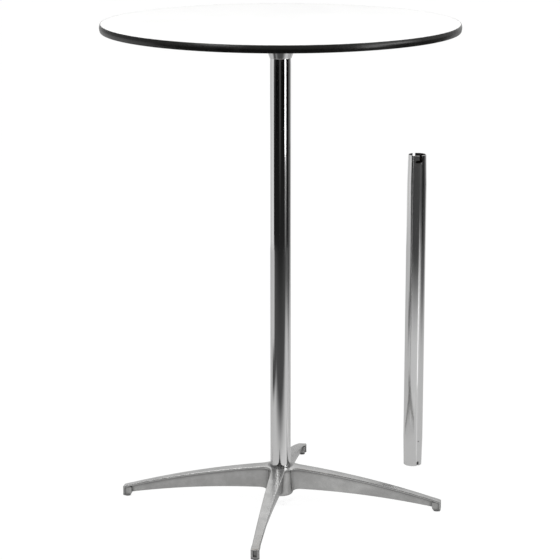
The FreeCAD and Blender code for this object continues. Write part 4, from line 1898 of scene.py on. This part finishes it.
# ------------------------------------------------------------------------------ studio
class Reflector:
    """A glowing upright sheet that only reflections show, with its light changing upwards."""

    name: str
    light: Pair
    fade: Pair
    low: float
    high: float

    def foot(self) -> list[Triple]:
        """Points along the sheet's lower edge."""
        raise NotImplementedError

    def build(self) -> None:
        """Makes the sheet."""
        piece = Workpiece.drawn(self.name, self.foot(), closed=False)
        bpy.ops.mesh.select_all(action="SELECT")
        bpy.ops.mesh.extrude_region_move(TRANSFORM_OT_translate={"value": (0.0, 0.0, self.high - self.low)})
        start_clean()
        material, recipe = new_material(self.name)
        share = recipe.coordinate(recipe.place(), "Z").rising(*self.fade)
        recipe.show(recipe.glow(WHITE, self.light[0] + share * (self.light[1] - self.light[0])))
        piece.obj.data.materials.append(material)
        for ray in ("camera", "diffuse", "transmission", "volume_scatter", "shadow"):
            setattr(piece.obj, f"visible_{ray}", False)


@dataclass(frozen=True)
class Card(Reflector):
    """A curved sheet round the set. Bearings run from 0 in front through 90 at the right."""

    name: str
    first: float
    last: float
    light: Pair
    fade: Pair = (0.05, 0.6)
    low: float = 0.0
    high: float = 0.85
    distance: float = 2.6
    facet: float = 4.0

    def foot(self) -> list[Triple]:
        """Works out the lower edge.

        Returns:
            Points from the first bearing to the last, about a facet apart.
        """
        steps = max(2, round(abs(self.last - self.first) / self.facet))
        angles = [math.radians(self.first + (self.last - self.first) * k / steps) for k in range(steps + 1)]
        return [(self.distance * math.sin(a), -self.distance * math.cos(a), self.low) for a in angles]


@dataclass(frozen=True)
class Screen(Reflector):
    """A flat sheet to the right of the long column, in front of the shorter one."""

    name: str
    sides: Pair
    light: Pair
    fade: Pair
    low: float = 0.10
    high: float = 0.75

    def foot(self) -> list[Triple]:
        """The lower edge's two ends."""
        return [(x, 0.0, self.low) for x in self.sides]


@dataclass(frozen=True)
class Lamp:
    """A square soft light that nothing mirrors."""

    name: str
    place: Triple
    size: float
    power: float
    aim: Triple = (0.0, 0.0, 0.5)

    def build(self) -> None:
        """Makes the light."""
        bpy.ops.object.light_add(type="AREA", location=self.place)
        lamp = bpy.context.object
        lamp.name = self.name
        lamp.data.size = self.size
        lamp.data.energy = self.power
        lamp.visible_glossy = False
        lamp.rotation_euler = (Vector(self.aim) - Vector(self.place)).to_track_quat("-Z", "Y").to_euler()


@dataclass(frozen=True)
class Wedge:
    """A wedge of painted light on the floor, which only reflections show, and which runs outwards from a
    column's foot.

    The slopes are how fast its full light and its fringe widen, and the start and the reach are
    how far along it the light comes and goes.
    """

    foot: Pair
    bearing: float
    light: float
    slopes: Pair
    reach: float
    start: Pair = (0.02, 0.12)
    fall_from: float = 0.1
    least: float = 0.05

    def on(self, x: Signal, y: Signal) -> Signal:
        """Works out how much brighter the floor is.

        Args:
            x: Coordinate to the right.
            y: Coordinate to the back.

        Returns:
            The light that the wedge adds.
        """
        sin, cos = math.sin(math.radians(self.bearing)), math.cos(math.radians(self.bearing))
        along = (x - self.foot[0]) * sin - (y - self.foot[1]) * cos
        across = (x - self.foot[0]) * cos + (y - self.foot[1]) * sin
        width = 1.0 - abs(across / along.larger(self.least)).rising(*self.slopes)
        length = along.rising(*self.start) * (1.0 - along.rising(self.fall_from, self.reach))
        return width * length * self.light


@dataclass(frozen=True)
class FloorPaper:
    """Floor that the camera sees white, and reflections see as a lit sheet in a dark room.

    Each pair is where an edge of the lit sheet starts and ends to fade, in metres. The bows bend
    the front edge away to the left and to the right, and the slants turn an edge.
    """

    paper: Colour = (0.85, 0.85, 0.85, 1.0)
    mirrored: float = 0.60
    front: Pair = (-0.85, -0.22)
    front_bow: Pair = (0.12, 0.28)
    left: Pair = (-0.97, -0.72)
    rear: Pair = (0.06, 0.36)
    far_left: Pair = (-1.45, -1.12)
    far_edge: Pair = (-0.15, 0.35)
    far_slant: float = 0.364
    right: Pair = (1.15, 2.15)
    right_edge: Pair = (-0.3, 0.3)
    right_slant: float = 0.7
    right_dim: float = 0.92
    dark: Pair = (0.02, 0.075)
    dark_fade: Pair = (-2.8, -0.8)
    # Painted light: glowing streaks that the columns and the legs mirror as highlights.
    wedges: tuple[Wedge, ...] = (
        Wedge((0.0, 0.0), 57.0, 0.20, (0.03, 0.12), 1.1),
        Wedge((0.0, 0.0), 28.0, 0.15, (0.15, 0.70), 0.6),
        Wedge(SPARE_AT, 40.0, 0.25, (0.03, 0.12), 1.1),
    )
    lamplight: float = 0.5
    shadow_share: float = 0.045
    shown: float = 1.03
    # Painted shade: how far ambient occlusion looks, and where it dims the white that the camera sees.
    hollow_reach: float = 0.25
    hollow_fade: Pair = (0.0, 0.35)
    hollow_samples: int = 8

    def shade(self, recipe: Recipe) -> Signal:
        """Works out how light the floor is in a reflection.

        Args:
            recipe: Recipe of the floor.

        Returns:
            The light, from 0 to about 1.
        """
        place = recipe.place()
        x, y = recipe.coordinate(place, "X"), recipe.coordinate(place, "Y")
        bow = (0.0 - x).larger(0.0) * self.front_bow[0] + x.larger(0.0) * self.front_bow[1]
        near = x.rising(*self.left)
        far = (1.0 - x.rising(*self.far_left)) * (y - x * self.far_slant).rising(*self.far_edge)
        rear = far.larger(y.rising(*self.rear))
        lit = near * (y + bow).rising(*self.front) + (1.0 - near) * rear
        beside = x.rising(*self.right) * (1.0 - (y - x * self.right_slant).rising(*self.right_edge))
        lit = lit * (1.0 - beside * self.right_dim)
        dark = y.rising(*self.dark_fade) * (self.dark[1] - self.dark[0]) + self.dark[0]
        shade = dark + lit * (self.mirrored - dark)
        # Painted light: each wedge brightens the floor that reflections show.
        for wedge in self.wedges:
            shade = shade + wedge.on(x, y) * lit
        return shade

    def build(self) -> bpy.types.Material:
        """Makes the material.

        Returns:
            The material.
        """
        material, recipe = new_material("floor_paper")
        shade = self.shade(recipe)
        tone = recipe.node("ShaderNodeCombineColor", None, {0: shade, 1: shade, 2: shade})
        paper = recipe.node("ShaderNodeBsdfDiffuse", None, {"Color": self.paper})
        lit_paper = recipe.node("ShaderNodeBsdfDiffuse", None, {"Color": tone})
        reflected = recipe.either(self.lamplight, recipe.glow(tone), lit_paper)
        # Painted shade: the camera's white is dimmed where the floor is enclosed, such as inside the shorter
        # column.
        open_sky = recipe.openness(self.hollow_reach, self.hollow_samples).rising(*self.hollow_fade)
        seen = recipe.either(self.shadow_share, recipe.glow(WHITE, open_sky * self.shown), paper)
        other = recipe.either(recipe.ray("Glossy"), paper, reflected)
        recipe.show(recipe.either(recipe.ray("Camera"), other, seen))
        return material


@dataclass
class Studio:
    """Floor, soft light, reflectors and the camera."""

    camera_at: Triple = (-0.0012, -4.3993, 1.5785)
    camera_pitch: float = 0.2384
    lens: float = 134.33
    sensor: float = 36.0
    sight: float = 200.0
    ambient: float = 0.55
    floor_size: float = 40.0
    cards: tuple[Card, ...] = (
        Card("card_rear_left", -180.0, -150.0, (0.93, 0.58), (0.40, 0.50)),
        Card("card_rear_top", 140.0, 220.0, (0.70, 0.70), low=0.85, high=1.15),
        Card("card_left_back", -150.0, -118.0, (0.60, 0.58)),
        Card("card_left", -118.0, -80.0, (0.76, 0.72)),
        Card("card_left_box", -52.0, -28.0, (4.0, 4.0), low=1.85, high=3.4, distance=2.5),
        Card("card_front_top", -150.0, 48.0, (0.28, 0.28), low=0.85, high=2.4),
        Card("card_right_upper", 82.0, 140.0, (0.40, 0.40), low=0.85, high=2.4),
        Card("card_front_left", -80.0, -60.0, (0.012, 0.06), (0.3, 0.65)),
        Card("card_dark_left", -60.0, -16.0, (0.014, 0.004)),
        Card("card_glint", -16.0, 5.0, (0.02, 0.055)),
        Card("card_dark_right", 5.0, 48.0, (0.018, 0.003)),
        Card("card_box", 48.0, 61.5, (3.5, 3.5), low=0.33, high=1.5),
        Card("card_under_box", 48.0, 68.0, (0.14, 0.36), (0.0, 0.33), high=0.33, distance=2.58),
        Card("card_gap", 61.5, 95.0, (0.012, 0.003)),
        Card("card_right_top", 61.5, 82.0, (4.5, 4.5), low=1.1, high=1.5),
        Card("card_right", 95.0, 106.0, (0.06, 0.075)),
        Card("card_right_back", 106.0, 127.0, (0.08, 0.11)),
        Card("card_rear_right", 127.0, 180.0, (0.55, 0.52)),
    )
    screens: tuple[Screen, ...] = (
        Screen("screen_front", (0.07, 0.495), (0.62, 0.06), (0.20, 0.46)),
        Screen("screen_streak", (0.495, 0.565), (1.35, 0.09), (0.24, 0.60)),
        Screen("screen_side", (0.565, 0.80), (0.60, 0.065), (0.28, 0.54)),
    )
    lamps: tuple[Lamp, ...] = (
        Lamp("key", (1.5, -1.6, 3.0), 2.2, 55.0),
        Lamp("fill", (-2.2, -0.8, 2.6), 2.0, 30.0),
    )

    def set_camera(self) -> None:
        """Adds the camera."""
        start_clean()
        turn = (QUARTER_TURN - self.camera_pitch, 0.0, 0.0)
        bpy.ops.object.camera_add(location=self.camera_at, rotation=turn)
        camera = bpy.context.object
        camera.name = "camera"
        camera.data.lens = self.lens
        camera.data.sensor_width = self.sensor
        camera.data.clip_end = self.sight
        bpy.context.scene.camera = camera

    def set_world(self) -> None:
        """White behind everything, and even soft light on everything."""
        world = bpy.data.worlds.new("studio")
        world.use_nodes = True
        bpy.context.scene.world = world
        recipe = Recipe(world.node_tree)
        seen = recipe.ray("Camera").larger(recipe.ray("Glossy")).larger(recipe.ray("Transmission"))
        strength = seen * (1.0 - self.ambient) + self.ambient
        sky = recipe.node("ShaderNodeBackground", None, {"Color": WHITE, "Strength": strength})
        recipe.show(sky, "World")

    def set_floor(self) -> None:
        """A pale floor that shows white and keeps the table's soft shadow."""
        start_clean()
        bpy.ops.mesh.primitive_plane_add(size=self.floor_size, location=(0.0, 0.0, 0.0))
        floor = bpy.context.object
        floor.name = "floor"
        floor.data.materials.append(FloorPaper().build())

    def build(self) -> None:
        """Sets up the whole studio."""
        bpy.context.scene.view_settings.view_transform = "Standard"
        self.set_camera()
        self.set_world()
        self.set_floor()
        for item in (*self.cards, *self.screens, *self.lamps):
            item.build()


def main() -> None:
    """Builds the table's looks, piece by piece."""
    logging.basicConfig(level=logging.INFO, format="%(message)s")
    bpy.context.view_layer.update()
    finishes = Finishes()
    long_tube = Column(
        name="long_tube",
        node="long_column",
        body=Body.COLUMN,
        length=1016.0 * MM,
        turn=math.radians(23.46),
        foot=(0.0, 0.0, SOCKET_FLOOR),
    )
    short_tube = Column(
        name="short_tube",
        node="short_column",
        body=Body.SPARE,
        length=736.6 * MM,
        turn=math.radians(-69.8),
        foot=(*SPARE_AT, 0.0),
    )
    Studio().build()
    for assembly in (BaseCasting(), Glides(), long_tube, short_tube, Spider(), Tabletop(), KeptSolids()):
        assembly.build(finishes)


if __name__ == "__main__":
    main()
